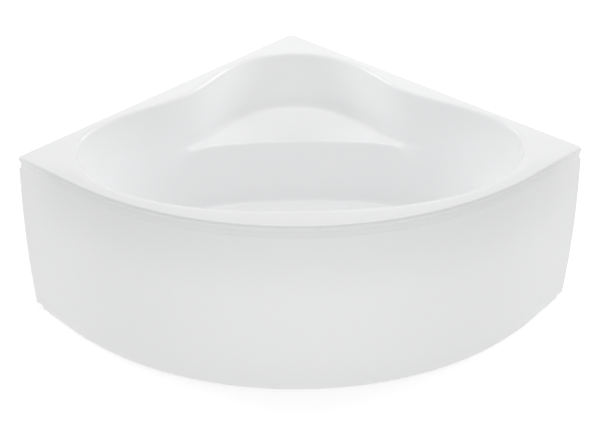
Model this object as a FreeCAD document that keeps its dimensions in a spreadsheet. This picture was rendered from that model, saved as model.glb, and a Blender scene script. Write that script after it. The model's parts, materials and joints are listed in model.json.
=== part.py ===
import FreeCAD, Part
import math
import operator
import os
import Sketcher

# Corner bath: a moulded acrylic shell on a welded frame, with a bowed front panel.
# +Z is up, +Y points to the room's corner, and the origin lies on the floor
# at the middle of the whole outline. All sizes are in millimetres.

SIZES = {
    # Plan and height of the bath
    "leg_length": 1400,
    "side_return": 285,
    "rim_height": 650,
    "wall_corner_radius": 24,
    "side_corner_radius": 13,
    # Shell wall, deck edge and lip
    "shell_wall": 5,
    "lip_height": 47,
    "nose_height": 18,
    "nose_overhang": 6,
    "nose_radius": 8,
    "rim_roll": 20,
    # Deck round the bowl
    "basin_centre_from_chord": 60,
    "deck_end_width": 204,
    "deck_front_width": 112,
    "deck_corner_depth": 476,
    "niche_reach": 306,
    # Seat, drawn in from the rim
    "seat_drop": 210,
    "seat_end_draw": 61,
    "seat_front_draw": 27,
    "seat_niche_reach": 276,
    "seat_back_round": 46,
    "seat_edge_round": 30,
    # Bowl floor, drawn in from the rim
    "bowl_depth": 445,
    "floor_end_draw": 226,
    "floor_front_draw": 91,
    "floor_back_draw": 69,
    "floor_round": 48,
    # Boards and frame
    "board_thickness": 16,
    "board_end_draw": 180,
    "board_waste_gap": 20,
    "board_back_draw": 140,
    "board_corner_cut": 80,
    "seat_board_half_length": 150,
    "seat_board_depth": 150,
    "seat_board_thickness": 12,
    "seat_board_from_edge": 121,
    "tube_size": 30,
    "tube_wall": 2,
    "side_post_from_end": 110,
    "back_post_from_corner": 99,
    "front_rail_from_end": 50,
    "front_post_from_rim": 48,
    "post_plate_width": 60,
    "post_plate_depth": 34,
    "post_plate_thickness": 3,
    "block_height": 20,
    "plate_screw_from_edge": 6,
    "board_screw_from_end": 150,
    "board_screw_from_back": 45,
    "board_screw_from_front": 30,
    "board_screw_grip": 10,
    "seat_screw_length": 11,
    # Levelling feet
    "side_foot_from_post": 80,
    "back_foot_from_post": 60,
    "front_foot_from_post": 70,
    "stud_radius": 6,
    "stud_rise": 51,
    "stud_chamfer": 1.5,
    "stud_fit": 0.05,
    "stud_hole_radius": 6.5,
    "nut_width": 19,
    "weld_nut_height": 10,
    "lock_nut_height": 6,
    "pad_radius": 25,
    "pad_height": 12,
    "pad_neck_radius": 11,
    "pad_neck_height": 22,
    "pad_socket_floor": 4,
    # Front panel
    "panel_wall": 4,
    "panel_gap": 1,
    "panel_setback": 8,
    "panel_floor_gap": 5,
    "panel_flange": 12,
    "panel_end_draw": 44,
    "panel_return_growth": 63,
    "panel_roll_height": 26,
    "panel_roll_inset": 16,
    "panel_notch": 30,
    "strip_width": 25,
    "strip_thickness": 3,
    "clip_height": 40,
    # Wall hooks
    "hook_near": 450,
    "hook_far_from_end": 400,
    "hook_width": 40,
    "hook_height": 62,
    "hook_thickness": 2,
    "hook_lip_gap": 1,
    "hook_tab": 15,
    "hook_hole_radius": 4,
    "hook_hole_drop": 36,
    # Waste
    "waste_from_floor_edge": 170,
    "waste_hole_radius": 25,
    "waste_lip_radius": 35,
    "waste_lip_height": 2,
    "waste_stem_radius": 24,
    "waste_stem_wall": 3,
    "waste_stem_length": 28,
    "waste_seal": 1,
    "waste_gasket": 4,
    "waste_cup_radius": 33,
    "waste_flange_radius": 40,
    "waste_flange_height": 6,
    "waste_cup_height": 50,
    "waste_cup_wall": 4,
    "waste_arm": 3,
    "waste_hub_radius": 8,
    "plug_radius": 30,
    "plug_crown": 5,
    "plug_stem_radius": 4,
    "plug_stem_length": 42,
    "plug_fit": 0.08,
    "seat_clearance": 0.3,
    # Trap
    "drain_radius": 20,
    "drain_wall": 3,
    "trap_mouth_drop": 22,
    "trap_neck": 14,
    "trap_cup_radius": 42,
    "trap_cup_height": 84,
    "trap_cup_chamfer": 10,
    "trap_outlet_drop": 30,
    "trap_outlet": 90,
    "trap_collar_radius": 23,
    "trap_collar_reach": 6,
    "trap_groove_width": 2,
    "trap_groove_depth": 0.8,
    "trap_nut_radius": 28,
    "trap_nut_height": 20,
    # Overflow
    "overflow_drop": 75,
    "overflow_hole_radius": 27,
    "overflow_ring_radius": 33,
    "overflow_ring_height": 3,
    "overflow_ring_seat": 0.6,
    "overflow_stem_radius": 25,
    "overflow_stem_wall": 4,
    "overflow_stem_length": 16,
    "overflow_gasket": 4,
    "overflow_flange_radius": 38,
    "overflow_flange_height": 4,
    "overflow_cup_radius": 30,
    "overflow_cup_depth": 36,
    "spindle_radius": 5,
    "spindle_fit": 0.06,
    "knob_radius": 35,
    "knob_height": 17,
    "knob_gap": 3,
    "knob_scallop_radius": 14,
    "knob_scallop_depth": 3,
    "pipe_radius": 16,
    "pipe_wall": 2,
    "pipe_bend_radius": 60,
    "socket_wall": 3,
    "socket_length": 50,
    # Screws
    "screw_radius": 2,
    "screw_head_radius": 4.5,
    "screw_head_height": 3,
    "screw_head_round": 1,
    "screw_length": 14,
    # Overrun of cutting tools, and slack for telling level edges
    "overrun": 10,
    "level_slack": 0.01,
}

# Outline and profile figures without a length
RIM_FRONT_POWER = 2.25
RIM_BACK_POWER = 1.825
SEAT_POWER = 2.23
FLOOR_POWER = 2.6
NICHE_HALF_ANGLE = math.radians(32.4)
NICHE_POWER = 2.3
WALL_POWER = 1.38
AROUND_COUNT = 72
KNOB_SCALLOPS = 6
STRAINER_ARMS = 4
PANEL_CURVE_POWER = 2.2
# Shares of the bowl's depth down a plain wall, from the rim's roll to the floor
WALL_DEPTH_SHARES = (0.15, 0.29, 0.38, 0.44, 0.48, 0.52, 0.56, 0.61, 0.68, 0.8, 0.93)
# Shares of the niche wall's and the seat's extents where their control points lie
NICHE_WALL_SHARES = (0.4, 0.75)
SEAT_FLAT_SHARE = 0.3
RISER_SHARE = 0.5
SEAT_BLEND_SHARE = 0.3
# Least squared cosine of half a turn that a thickened corner follows
TURN_LIMIT = 0.25
# Rings of the skin, counted in rows of control points and closer where the wall turns
RING_ROWS = (0, 0.5, 1, 1.6, 2.5, 4, 5.5, 6.4, 7.2, 8, 8.8, 9.6, 10.5, 11.4, 12, 12.6, 13.2, 14)
# Degrees that the trap's outlet is turned from the room's corner to the right
TRAP_TURN = 30
# Sections of the panel: shares of its upright height, then degrees round its foot
PANEL_LEVEL_SHARES = (0, 0.2, 0.4, 0.6, 0.8, 1)
ROLL_TURNS = (0, 20, 40, 60, 76)

doc = FreeCAD.newDocument("CornerBath")
sheet = doc.addObject("Spreadsheet::Sheet", "Sizes")
for line, (alias, amount) in enumerate(SIZES.items(), start=1):
    sheet.set(f"A{line}", alias)
    sheet.set(f"B{line}", str(amount))
    sheet.setAlias(f"B{line}", alias)
doc.recompute()


class Size:
    """A length with the expression that ties it to the sheet."""

    def __init__(self, value, text):
        self.value = value
        self.text = text

    def joined(self, other, sign, work):
        other = as_size(other)
        return Size(work(self.value, other.value), f"({self.text} {sign} {other.text})")

    def __add__(self, other):
        return self.joined(other, "+", operator.add)

    def __sub__(self, other):
        return self.joined(other, "-", operator.sub)

    def __mul__(self, other):
        return self.joined(other, "*", operator.mul)

    def __truediv__(self, other):
        return self.joined(other, "/", operator.truediv)

    def __radd__(self, other):
        return as_size(other) + self

    def __rsub__(self, other):
        return as_size(other) - self

    def __rmul__(self, other):
        return as_size(other) * self

    def __neg__(self):
        return as_size(0) - self


def as_size(item):
    """Turn a plain number into a Size."""
    return item if isinstance(item, Size) else Size(float(item), repr(float(item)))


class Named:
    """The sheet's sizes by name."""

    def __getattr__(self, alias):
        return Size(float(sheet.get(alias)), f"Sizes.{alias}")


size = Named()
ROOT_TWO = Size(math.sqrt(2), "sqrt(2)")

# Plan: two walls meet at the corner, and each end of the front leaves its wall squarely
half_diagonal = size.leg_length / ROOT_TWO
corner_y = (size.leg_length + (size.side_return + size.wall_corner_radius) * (ROOT_TWO - 1)) / 2
chord_y = corner_y - half_diagonal
basin_y = chord_y + size.basin_centre_from_chord
front_radius = size.leg_length - size.side_return
front_centre_y = corner_y - size.side_return * ROOT_TWO

# Bowl outlines about the basin's centre, and the waste in the bowl's floor
rim_half_length = half_diagonal - size.deck_end_width
rim_front_reach = basin_y - front_centre_y + front_radius - size.deck_front_width
rim_back_reach = corner_y - basin_y - size.deck_corner_depth
seat_half_length = rim_half_length - size.seat_end_draw
seat_reach = rim_back_reach - size.seat_front_draw
floor_half_length = rim_half_length - size.floor_end_draw
floor_front_reach = rim_front_reach - size.floor_front_draw
floor_back_reach = rim_back_reach - size.floor_back_draw
waste_from_centre = floor_front_reach - size.waste_from_floor_edge

# Boards, rails and posts from the same outlines
board_half_length = floor_half_length - size.board_end_draw
board_front_reach = waste_from_centre - size.waste_flange_radius - size.board_waste_gap
board_back_reach = floor_back_reach - size.board_back_draw
seat_board_y = basin_y + seat_reach + size.seat_board_from_edge
side_post_x = half_diagonal - size.side_post_from_end
front_post_x = board_half_length - size.front_rail_from_end

# Levels
rim_z = size.rim_height
deck_under_z = rim_z - size.shell_wall
lip_bottom_z = rim_z - size.lip_height
floor_z = rim_z - size.bowl_depth
floor_under_z = floor_z - size.shell_wall
seat_under_z = rim_z - size.seat_drop - size.shell_wall
frame_top_z = floor_under_z - size.board_thickness
frame_mid_z = frame_top_z - size.tube_size / 2
frame_under_z = frame_top_z - size.tube_size
post_top_z = deck_under_z - size.block_height

nodes = []


def keep(item):
    """List a finished sub-part for export."""
    nodes.append(item)
    return item


def place(item, across=0, along=0, up=0, rotation=None):
    """Put an object at its place, tied to the sheet."""
    spots = [as_size(across), as_size(along), as_size(up)]
    item.Placement = FreeCAD.Placement(
        FreeCAD.Vector(*[spot.value for spot in spots]), rotation or FreeCAD.Rotation())
    for letter, spot in zip("xyz", spots):
        item.setExpression(f"Placement.Base.{letter}", spot.text)
    return item


def new_body(label):
    body = doc.addObject("PartDesign::Body", label)
    body.Label = label
    return body


def new_sketch(body, role, lift=0):
    """A sketch on one of the body's own origin planes, lifted along its normal."""
    sketch = body.newObject("Sketcher::SketchObject", f"{body.Label}_sketch")
    plane = next(item for item in body.Origin.OriginFeatures if item.Role == role)
    sketch.AttachmentSupport = [(plane, "")]
    sketch.MapMode = "FlatFace"
    sketch.setExpression("AttachmentOffset.Base.z", as_size(lift).text)
    return sketch


def fix_point(sketch, part, end, point):
    """Tie a point of the sketch to its two distances from the sketch's origin."""
    for kind, axis, distance in (("DistanceX", -2, point[0]), ("DistanceY", -1, point[1])):
        if not isinstance(distance, Size):
            sketch.addConstraint(Sketcher.Constraint("PointOnObject", part, end, axis))
            continue
        index = sketch.addConstraint(Sketcher.Constraint(kind, -1, 1, part, end, distance.value))
        sketch.setExpression(f"Constraints[{index}]", distance.text)


def draw_polygon(sketch, corners):
    """Closed outline of straight lines through the corners."""
    first = sketch.GeometryCount
    count = len(corners)
    spots = [FreeCAD.Vector(as_size(a).value, as_size(b).value, 0) for a, b in corners]
    for step in range(count):
        sketch.addGeometry(Part.LineSegment(spots[step], spots[(step + 1) % count]))
    for step in range(count):
        following = first + (step + 1) % count
        sketch.addConstraint(Sketcher.Constraint("Coincident", first + step, 2, following, 1))
    for step in range(count):
        fix_point(sketch, first + step, 1, corners[step])


def draw_box(sketch, left, bottom, right, top):
    draw_polygon(sketch, [(left, bottom), (right, bottom), (right, top), (left, top)])


def draw_square(sketch, half):
    draw_box(sketch, -half, -half, half, half)


def draw_circle(sketch, across, up, radius):
    centre = FreeCAD.Vector(as_size(across).value, as_size(up).value, 0)
    ring = sketch.addGeometry(Part.Circle(centre, FreeCAD.Vector(0, 0, 1), radius.value))
    fix_point(sketch, ring, 3, (across, up))
    index = sketch.addConstraint(Sketcher.Constraint("Radius", ring, radius.value))
    sketch.setExpression(f"Constraints[{index}]", radius.text)


def pad(body, sketch, length, midplane=False, backwards=False):
    feature = body.newObject("PartDesign::Pad", f"{body.Label}_pad")
    feature.Profile = sketch
    feature.setExpression("Length", length.text)
    feature.Midplane = midplane
    feature.Reversed = backwards
    return feature


def drill(body, sketch):
    """Cut the sketch right through the body, both ways."""
    feature = body.newObject("PartDesign::Pocket", f"{body.Label}_holes")
    feature.Profile = sketch
    feature.Type = "ThroughAll"
    feature.Midplane = True
    return feature


def revolve(body, corners):
    """Turn an outline of radius and height about the body's Z axis."""
    sketch = new_sketch(body, "XZ_Plane")
    draw_polygon(sketch, corners)
    feature = body.newObject("PartDesign::Revolution", f"{body.Label}_turned")
    feature.Profile = sketch
    feature.ReferenceAxis = (sketch, ["V_Axis"])
    feature.Angle = 360
    return feature


def turned(label, corners, across=0, along=0, up=0):
    body = new_body(label)
    revolve(body, corners)
    return keep(place(body, across, along, up))


def primitive(kind, label, **sizes):
    """A plain solid whose properties follow the sheet."""
    item = doc.addObject(f"Part::{kind}", label)
    for name, amount in sizes.items():
        item.setExpression(name, as_size(amount).text)
    return item


def joined(label, parts, kind="MultiFuse"):
    item = doc.addObject(f"Part::{kind}", label)
    if kind == "Compound":
        item.Links = parts
    else:
        item.Shapes = parts
    item.Label = label
    return item


def subtracted(label, base, tool):
    item = doc.addObject("Part::Cut", label)
    item.Base = base
    item.Tool = tool
    item.Label = label
    return item


def shaped(label, shape):
    """A sub-part whose form comes from surfaces that no feature gives."""
    item = doc.addObject("Part::Feature", label)
    item.Shape = shape
    item.Label = label
    return keep(item)


# Plan outline of the deck and of the panel


def plan_points(inset, growth=0.0):
    """Corner, side and tangent points of the plan, drawn in along the walls by an inset."""
    leg = size.leg_length.value
    straight = size.side_return.value + growth
    diagonal = 1 / ROOT_TWO.value
    corner = FreeCAD.Vector(0, corner_y.value, 0)
    side = corner + FreeCAD.Vector(diagonal, -diagonal, 0) * (leg - inset)
    tangent = side + FreeCAD.Vector(-diagonal, -diagonal, 0) * straight
    radius = leg - inset - straight
    front = FreeCAD.Vector(0, corner.y - straight * ROOT_TWO.value - radius, 0)
    return corner, side, tangent, front


def mirrored(point):
    return FreeCAD.Vector(-point.x, point.y, point.z)


def arc_through(first, middle, last):
    return Part.Arc(first, middle, last).toShape()


def deck_wire(inset, level):
    """Closed plan outline at a level, every side drawn in by the same inset."""
    corner, side, tangent, front = plan_points(inset)
    lift = FreeCAD.Vector(0, 0, level)
    corner = corner + lift + FreeCAD.Vector(0, -inset * ROOT_TWO.value, 0)
    side = side + lift + FreeCAD.Vector(-inset / ROOT_TWO.value, -inset / ROOT_TWO.value, 0)
    tangent = tangent + lift
    front = front + lift
    return Part.Wire([
        Part.makeLine(corner, side),
        Part.makeLine(side, tangent),
        arc_through(tangent, front, mirrored(tangent)),
        Part.makeLine(mirrored(tangent), mirrored(side)),
        Part.makeLine(mirrored(side), corner),
    ])


def prism(wire, height):
    return Part.Face(wire).extrude(FreeCAD.Vector(0, 0, height))


def upright_edges(solid, spot, reach):
    """Upright edges of a prism within reach of a plan point."""
    slack = size.level_slack.value
    found = []
    for edge in solid.Edges:
        box = edge.BoundBox
        if box.XLength < slack and box.YLength < slack:
            if math.hypot(box.Center.x - spot.x, box.Center.y - spot.y) < reach:
                found.append(edge)
    return found


def rounded_prism(inset, bottom, top):
    """Prism of the plan outline with rounded upright corners."""
    solid = prism(deck_wire(inset, bottom), top - bottom)
    wall_radius = size.wall_corner_radius.value - inset
    side_radius = size.side_corner_radius.value - inset
    corner, side = plan_points(0)[:2]
    reach = size.lip_height.value
    solid = solid.makeFillet(wall_radius, upright_edges(solid, corner, reach))
    sides = upright_edges(solid, side, reach) + upright_edges(solid, mirrored(side), reach)
    return solid.makeFillet(side_radius, sides)


# Bowl: polar outlines about the basin's centre, angle zero towards the room's corner


def oval(angle, half_length, back_reach, front_reach, back_power, front_power):
    """Radius of an oval whose front and back halves differ."""
    across = abs(math.sin(angle)) / half_length
    reach, power = (back_reach, back_power) if math.cos(angle) >= 0 else (front_reach, front_power)
    along = abs(math.cos(angle)) / reach
    return (across ** power + along ** power) ** (-1 / power)


def bell(angle):
    """Share of the niche at an angle, one in the middle and none at the sides."""
    return math.exp(-(abs(angle) / NICHE_HALF_ANGLE) ** NICHE_POWER)


def rim_radius(angle):
    plain = oval(angle, rim_half_length.value, rim_back_reach.value, rim_front_reach.value,
                 RIM_BACK_POWER, RIM_FRONT_POWER)
    return plain + size.niche_reach.value * bell(angle)


def seat_front_radius(angle):
    reach = seat_reach.value
    return oval(angle, seat_half_length.value, reach, reach, SEAT_POWER, SEAT_POWER)


def floor_radius(angle):
    return oval(angle, floor_half_length.value, floor_back_reach.value, floor_front_reach.value,
                FLOOR_POWER, FLOOR_POWER)


def smooth_step(share):
    share = min(max(share, 0.0), 1.0)
    return share * share * (3 - 2 * share)


def wall_profile(angle):
    """Radius and drop of each row down a plain wall."""
    rim = rim_radius(angle)
    floor = floor_radius(angle)
    roll = size.rim_roll.value
    depth = size.bowl_depth.value
    rows = [(rim + roll, 0.0), (rim, 0.0), (rim, roll)]
    for share in WALL_DEPTH_SHARES:
        swell = (1 - share ** WALL_POWER) ** (1 / WALL_POWER)
        rows.append((floor + (rim - floor) * swell, depth * share))
    reach = size.floor_round.value
    rows += [(floor, depth), (floor - reach, depth), (floor - reach - reach, depth)]
    return rows


def seat_profile(angle):
    """Radius and drop of each row down the niche, over the seat and down the riser."""
    rim = rim_radius(angle)
    back = seat_front_radius(angle) + size.seat_niche_reach.value * bell(angle)
    front = seat_front_radius(angle)
    floor = floor_radius(angle)
    roll = size.rim_roll.value
    drop = size.seat_drop.value
    depth = size.bowl_depth.value
    back_round = size.seat_back_round.value
    edge_round = size.seat_edge_round.value
    riser = depth - drop
    reach = size.floor_round.value
    width = back - front
    back_flat = min(back_round, width * SEAT_FLAT_SHARE)
    front_flat = min(edge_round, width * SEAT_FLAT_SHARE)
    wall_drop = drop - back_round
    return [
        (rim + roll, 0.0),
        (rim, 0.0),
        (rim - (rim - back) * roll / drop, roll),
        (rim + (back - rim) * NICHE_WALL_SHARES[0], wall_drop * NICHE_WALL_SHARES[0]),
        (rim + (back - rim) * NICHE_WALL_SHARES[1], wall_drop * NICHE_WALL_SHARES[1]),
        (back, wall_drop),
        (back, drop),
        (back - back_flat, drop),
        ((back - back_flat + front + front_flat) / 2, drop),
        (front + front_flat, drop),
        (front, drop),
        (front - (front - floor) * edge_round / riser, drop + edge_round),
        (front - (front - floor) * RISER_SHARE, drop + riser * RISER_SHARE),
        (floor, depth - reach),
        (floor, depth),
        (floor - reach, depth),
        (floor - reach - reach, depth),
    ]


def bowl_rows(angle):
    """Radius and drop of each row at an angle, the seat melting into the walls at its tips."""
    width = size.seat_niche_reach.value * bell(angle)
    weight = smooth_step(width / (size.seat_niche_reach.value * SEAT_BLEND_SHARE))
    pairs = zip(wall_profile(angle), seat_profile(angle))
    return [(a[0] + (b[0] - a[0]) * weight, a[1] + (b[1] - a[1]) * weight) for a, b in pairs]


def bowl_net():
    """Control points of the bowl's inner face, row by row from the rim down."""
    columns = []
    for step in range(AROUND_COUNT):
        angle = 2 * math.pi * step / AROUND_COUNT
        angle = angle if angle <= math.pi else angle - 2 * math.pi
        column = []
        for radius, drop in bowl_rows(angle):
            column.append(FreeCAD.Vector(
                radius * math.sin(angle),
                basin_y.value + radius * math.cos(angle),
                rim_z.value - drop))
        columns.append(column)
    return columns


def offset_net(columns, wall):
    """The same control points moved outwards by the wall, square to the face."""
    count = len(columns)
    moved = []
    for step, column in enumerate(columns):
        before = columns[step - 1]
        after = columns[(step + 1) % count]
        fresh = []
        for row, point in enumerate(column):
            above = column[max(row - 1, 0)]
            below = column[min(row + 1, len(column) - 1)]
            around = after[row] - before[row]
            down = below - above
            normal = around.cross(down)
            normal.normalize()
            if row == 0 or row >= len(column) - 2:
                normal = FreeCAD.Vector(0, 0, -1)
            bend = corner_factor(above, point, below)
            fresh.append(point + normal * (wall * bend))
        moved.append(fresh)
    return moved


def corner_factor(above, point, below):
    """Growth of an offset at a corner of the control polygon."""
    first = point - above
    second = below - point
    if first.Length == 0 or second.Length == 0:
        return 1.0
    cosine = first.dot(second) / first.Length / second.Length
    half = math.sqrt(max((1 + cosine) / 2, TURN_LIMIT))
    return 1 / half


def bowl_skin(columns):
    """Closed skin ruled from ring to ring of the smooth surface that the control points shape."""
    rows = len(columns[0])
    count = len(columns)
    surface = Part.BSplineSurface()
    knots_down = list(range(rows - 2))
    folds_down = [4] + [1] * (rows - 4) + [4]
    knots_around = list(range(count + 1))
    folds_around = [1] * (count + 1)
    surface.buildFromPolesMultsKnots(
        columns, folds_around, folds_down, knots_around, knots_down, True, False, 3, 3)
    rings = [Part.Wire([surface.vIso(ring).toShape()]) for ring in RING_ROWS]
    return Part.makeLoft(rings, False, True)


def level_edge(skin, level):
    """The skin's boundary ring at a level."""
    slack = size.level_slack.value
    for edge in skin.Edges:
        box = edge.BoundBox
        if abs(box.ZMax - level) < slack and abs(box.ZMin - level) < slack:
            return edge
    raise RuntimeError("no edge at the level")


def flat_side(solid, level):
    """The flat horizontal face of a solid at a level."""
    slack = size.level_slack.value
    for face in solid.Faces:
        box = face.BoundBox
        if abs(box.ZMax - level) < slack and abs(box.ZMin - level) < slack:
            return face
    raise RuntimeError("no flat face at the level")


def rim_tray():
    """Deck plate with its rounded nose and downturned lip, not yet opened for the bowl."""
    nose_bottom = rim_z.value - size.nose_height.value
    overhang = size.nose_overhang.value
    nose = rounded_prism(0, nose_bottom, rim_z.value)
    slack = size.level_slack.value
    round_edges = [edge for edge in nose.Edges if edge.BoundBox.ZLength < slack]
    nose = nose.makeFillet(size.nose_radius.value, round_edges)
    lip = rounded_prism(overhang, lip_bottom_z.value, rim_z.value - size.nose_radius.value)
    hollow = rounded_prism(overhang + size.shell_wall.value, lip_bottom_z.value - size.overrun.value,
                           deck_under_z.value)
    return nose.fuse(lip).removeSplitter().cut(hollow)


def tub_shell_shape():
    """One even wall: deck, lip, bowl and seat, sewn from their faces."""
    tray = rim_tray()
    inner = bowl_skin(bowl_net())
    outer = bowl_skin(offset_net(bowl_net(), size.shell_wall.value))
    deck = flat_side(tray, rim_z.value)
    under = flat_side(tray, deck_under_z.value)
    faces = [face for face in tray.Faces if not face.isSame(deck) and not face.isSame(under)]
    inner_top = Part.Wire([level_edge(inner, rim_z.value)])
    outer_top = Part.Wire([level_edge(outer, deck_under_z.value)])
    faces.append(Part.makeFace([deck.OuterWire, inner_top], "Part::FaceMakerBullseye"))
    faces.append(Part.makeFace([under.OuterWire, outer_top], "Part::FaceMakerBullseye"))
    faces += inner.Faces + outer.Faces
    faces.append(Part.Face(Part.Wire([level_edge(inner, floor_z.value)])))
    faces.append(Part.Face(Part.Wire([level_edge(outer, floor_under_z.value)])))
    sewn = Part.makeShell(faces)
    sewn.sewShape()
    solid = Part.makeSolid(sewn)
    if solid.Volume < 0:
        solid.reverse()
    return solid


def wall_placement(drop):
    """Point on the bowl's front wall at a drop below the rim, with Z square to the wall."""
    inner = bowl_skin(bowl_net())
    level = rim_z.value - drop
    probe = Part.makeLine(FreeCAD.Vector(0, basin_y.value, level),
                          FreeCAD.Vector(0, basin_y.value - size.leg_length.value, level))
    point = inner.section(probe).Vertexes[0].Point
    touched = min(inner.Faces, key=lambda face: face.distToShape(Part.Vertex(point))[0])
    across, down = touched.Surface.parameter(point)
    normal = touched.Surface.normal(across, down)
    if normal.y < 0:
        normal = normal.negative()
    return FreeCAD.Placement(point, FreeCAD.Rotation(FreeCAD.Vector(0, 0, 1), normal))


waste_y = basin_y - waste_from_centre
overflow_place = wall_placement(size.overflow_drop.value)


def make_tub_shell():
    """The shell with its overflow and waste holes."""
    reach = size.overrun.value
    wall = size.shell_wall.value
    waste = Part.makeCylinder(
        size.waste_hole_radius.value, wall + 2 * reach,
        FreeCAD.Vector(0, waste_y.value, floor_under_z.value - reach))
    overflow = Part.makeCylinder(
        size.overflow_hole_radius.value, wall + 2 * reach, FreeCAD.Vector(0, 0, -wall - reach))
    overflow.Placement = overflow_place
    shaped("tub_shell", tub_shell_shape().cut([waste, overflow]))


# Frame: square tubes under the floor board, posts up to blocks under the deck

back_post_y = corner_y - size.back_post_from_corner


def root(item):
    return Size(math.sqrt(item.value), f"sqrt({item.text})")


front_edge_y = front_centre_y - root(front_radius * front_radius - front_post_x * front_post_x)
front_post_y = front_edge_y + size.front_post_from_rim

POSTS = {
    "back": (as_size(0), back_post_y),
    "left": (-side_post_x, chord_y),
    "right": (side_post_x, chord_y),
    "front_left": (-front_post_x, front_post_y),
    "front_right": (front_post_x, front_post_y),
}
FEET = {
    "back": (as_size(0), back_post_y - size.back_foot_from_post),
    "left": (size.side_foot_from_post - side_post_x, chord_y),
    "right": (side_post_x - size.side_foot_from_post, chord_y),
    "front_left": (-front_post_x, front_post_y + size.front_foot_from_post),
    "front_right": (front_post_x, front_post_y + size.front_foot_from_post),
}
BOARD_SCREWS = {
    "cross_left": (size.board_screw_from_end - board_half_length, chord_y),
    "cross_right": (board_half_length - size.board_screw_from_end, chord_y),
    "back": (as_size(0), basin_y + board_back_reach - size.board_screw_from_back),
    "front_left": (-front_post_x, basin_y - board_front_reach + size.board_screw_from_front),
    "front_right": (front_post_x, basin_y - board_front_reach + size.board_screw_from_front),
}


def make_rail(label, role, length, across, along, holes):
    """Square tube lying under the board, drilled for its studs and screws."""
    body = new_body(label)
    section = new_sketch(body, role)
    draw_square(section, size.tube_size / 2)
    draw_square(section, size.tube_size / 2 - size.tube_wall)
    pad(body, section, length, midplane=True)
    drilled = new_sketch(body, "XY_Plane")
    for (hole_x, hole_y), radius in holes:
        draw_circle(drilled, hole_x - across, hole_y - along, radius)
    drill(body, drilled)
    keep(place(body, across, along, frame_mid_z))


def make_rails():
    stud = size.stud_hole_radius
    screw = size.screw_radius
    rail_end = side_post_x + size.tube_size / 2
    make_rail("cross_rail", "YZ_Plane", rail_end + rail_end, as_size(0), chord_y, [
        (FEET["left"], stud), (FEET["right"], stud),
        (BOARD_SCREWS["cross_left"], screw), (BOARD_SCREWS["cross_right"], screw)])
    make_rail("back_rail", "XZ_Plane", back_post_y - chord_y, as_size(0),
              (back_post_y + chord_y + size.tube_size) / 2,
              [(FEET["back"], stud), (BOARD_SCREWS["back"], screw)])
    for side, sign in (("left", -1), ("right", 1)):
        make_rail(f"front_rail_{side}", "XZ_Plane", chord_y - front_post_y,
                  sign * front_post_x, (chord_y + front_post_y - size.tube_size) / 2,
                  [(FEET[f"front_{side}"], stud), (BOARD_SCREWS[f"front_{side}"], screw)])


screw_spread = size.post_plate_width / 2 - size.plate_screw_from_edge


def draw_plate(sketch):
    """Outline of a post's plate or block with its two screw holes."""
    half_width = size.post_plate_width / 2
    half_depth = size.post_plate_depth / 2
    draw_box(sketch, -half_width, -half_depth, half_width, half_depth)
    draw_screw_holes(sketch)


def draw_screw_holes(sketch):
    for sign in (-1, 1):
        draw_circle(sketch, sign * screw_spread, 0, size.screw_radius)


def make_post(label, spot, top):
    """Square tube standing on the frame, with a drilled plate welded on its top."""
    body = new_body(label)
    section = new_sketch(body, "XY_Plane")
    draw_square(section, size.tube_size / 2)
    draw_square(section, size.tube_size / 2 - size.tube_wall)
    tube_length = top - size.post_plate_thickness - frame_top_z
    pad(body, section, tube_length)
    plate = new_sketch(body, "XY_Plane", tube_length)
    draw_plate(plate)
    pad(body, plate, size.post_plate_thickness)
    keep(place(body, spot[0], spot[1], frame_top_z))


def make_block(label, spot):
    """Wooden block bonded under the deck, with pilot holes for the post's screws."""
    body = new_body(label)
    section = new_sketch(body, "XY_Plane")
    draw_plate(section)
    pad(body, section, size.block_height)
    keep(place(body, spot[0], spot[1], post_top_z))


def screw_up(label, across, along, seat, grip):
    """Pan-head screw driven upwards, its head seated at a level."""
    shank = primitive("Cylinder", f"{label}_shank", Radius=size.screw_radius, Height=grip)
    head = primitive("Cone", f"{label}_head", Radius1=size.screw_head_radius - size.screw_head_round,
                     Radius2=size.screw_head_radius, Height=size.screw_head_height)
    place(shank, across, along, seat)
    place(head, across, along, seat - size.screw_head_height)
    return joined(label, [shank, head])


def make_posts():
    seat_top = seat_under_z - size.seat_board_thickness
    fasteners = []
    for name, spot in POSTS.items():
        make_post(f"post_{name}", spot, post_top_z)
        make_block(f"rim_block_{name}", spot)
        for sign in (-1, 1):
            fasteners.append(screw_up(
                f"screw_{name}_{sign + 1}", spot[0] + sign * screw_spread, spot[1],
                post_top_z - size.post_plate_thickness, size.screw_length))
    make_post("seat_post", (as_size(0), seat_board_y), seat_top)
    for sign in (-1, 1):
        fasteners.append(screw_up(
            f"screw_seat_{sign + 1}", sign * screw_spread, seat_board_y,
            seat_top - size.post_plate_thickness, size.seat_screw_length))
    keep(joined("post_screws", fasteners, "Compound"))


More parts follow.
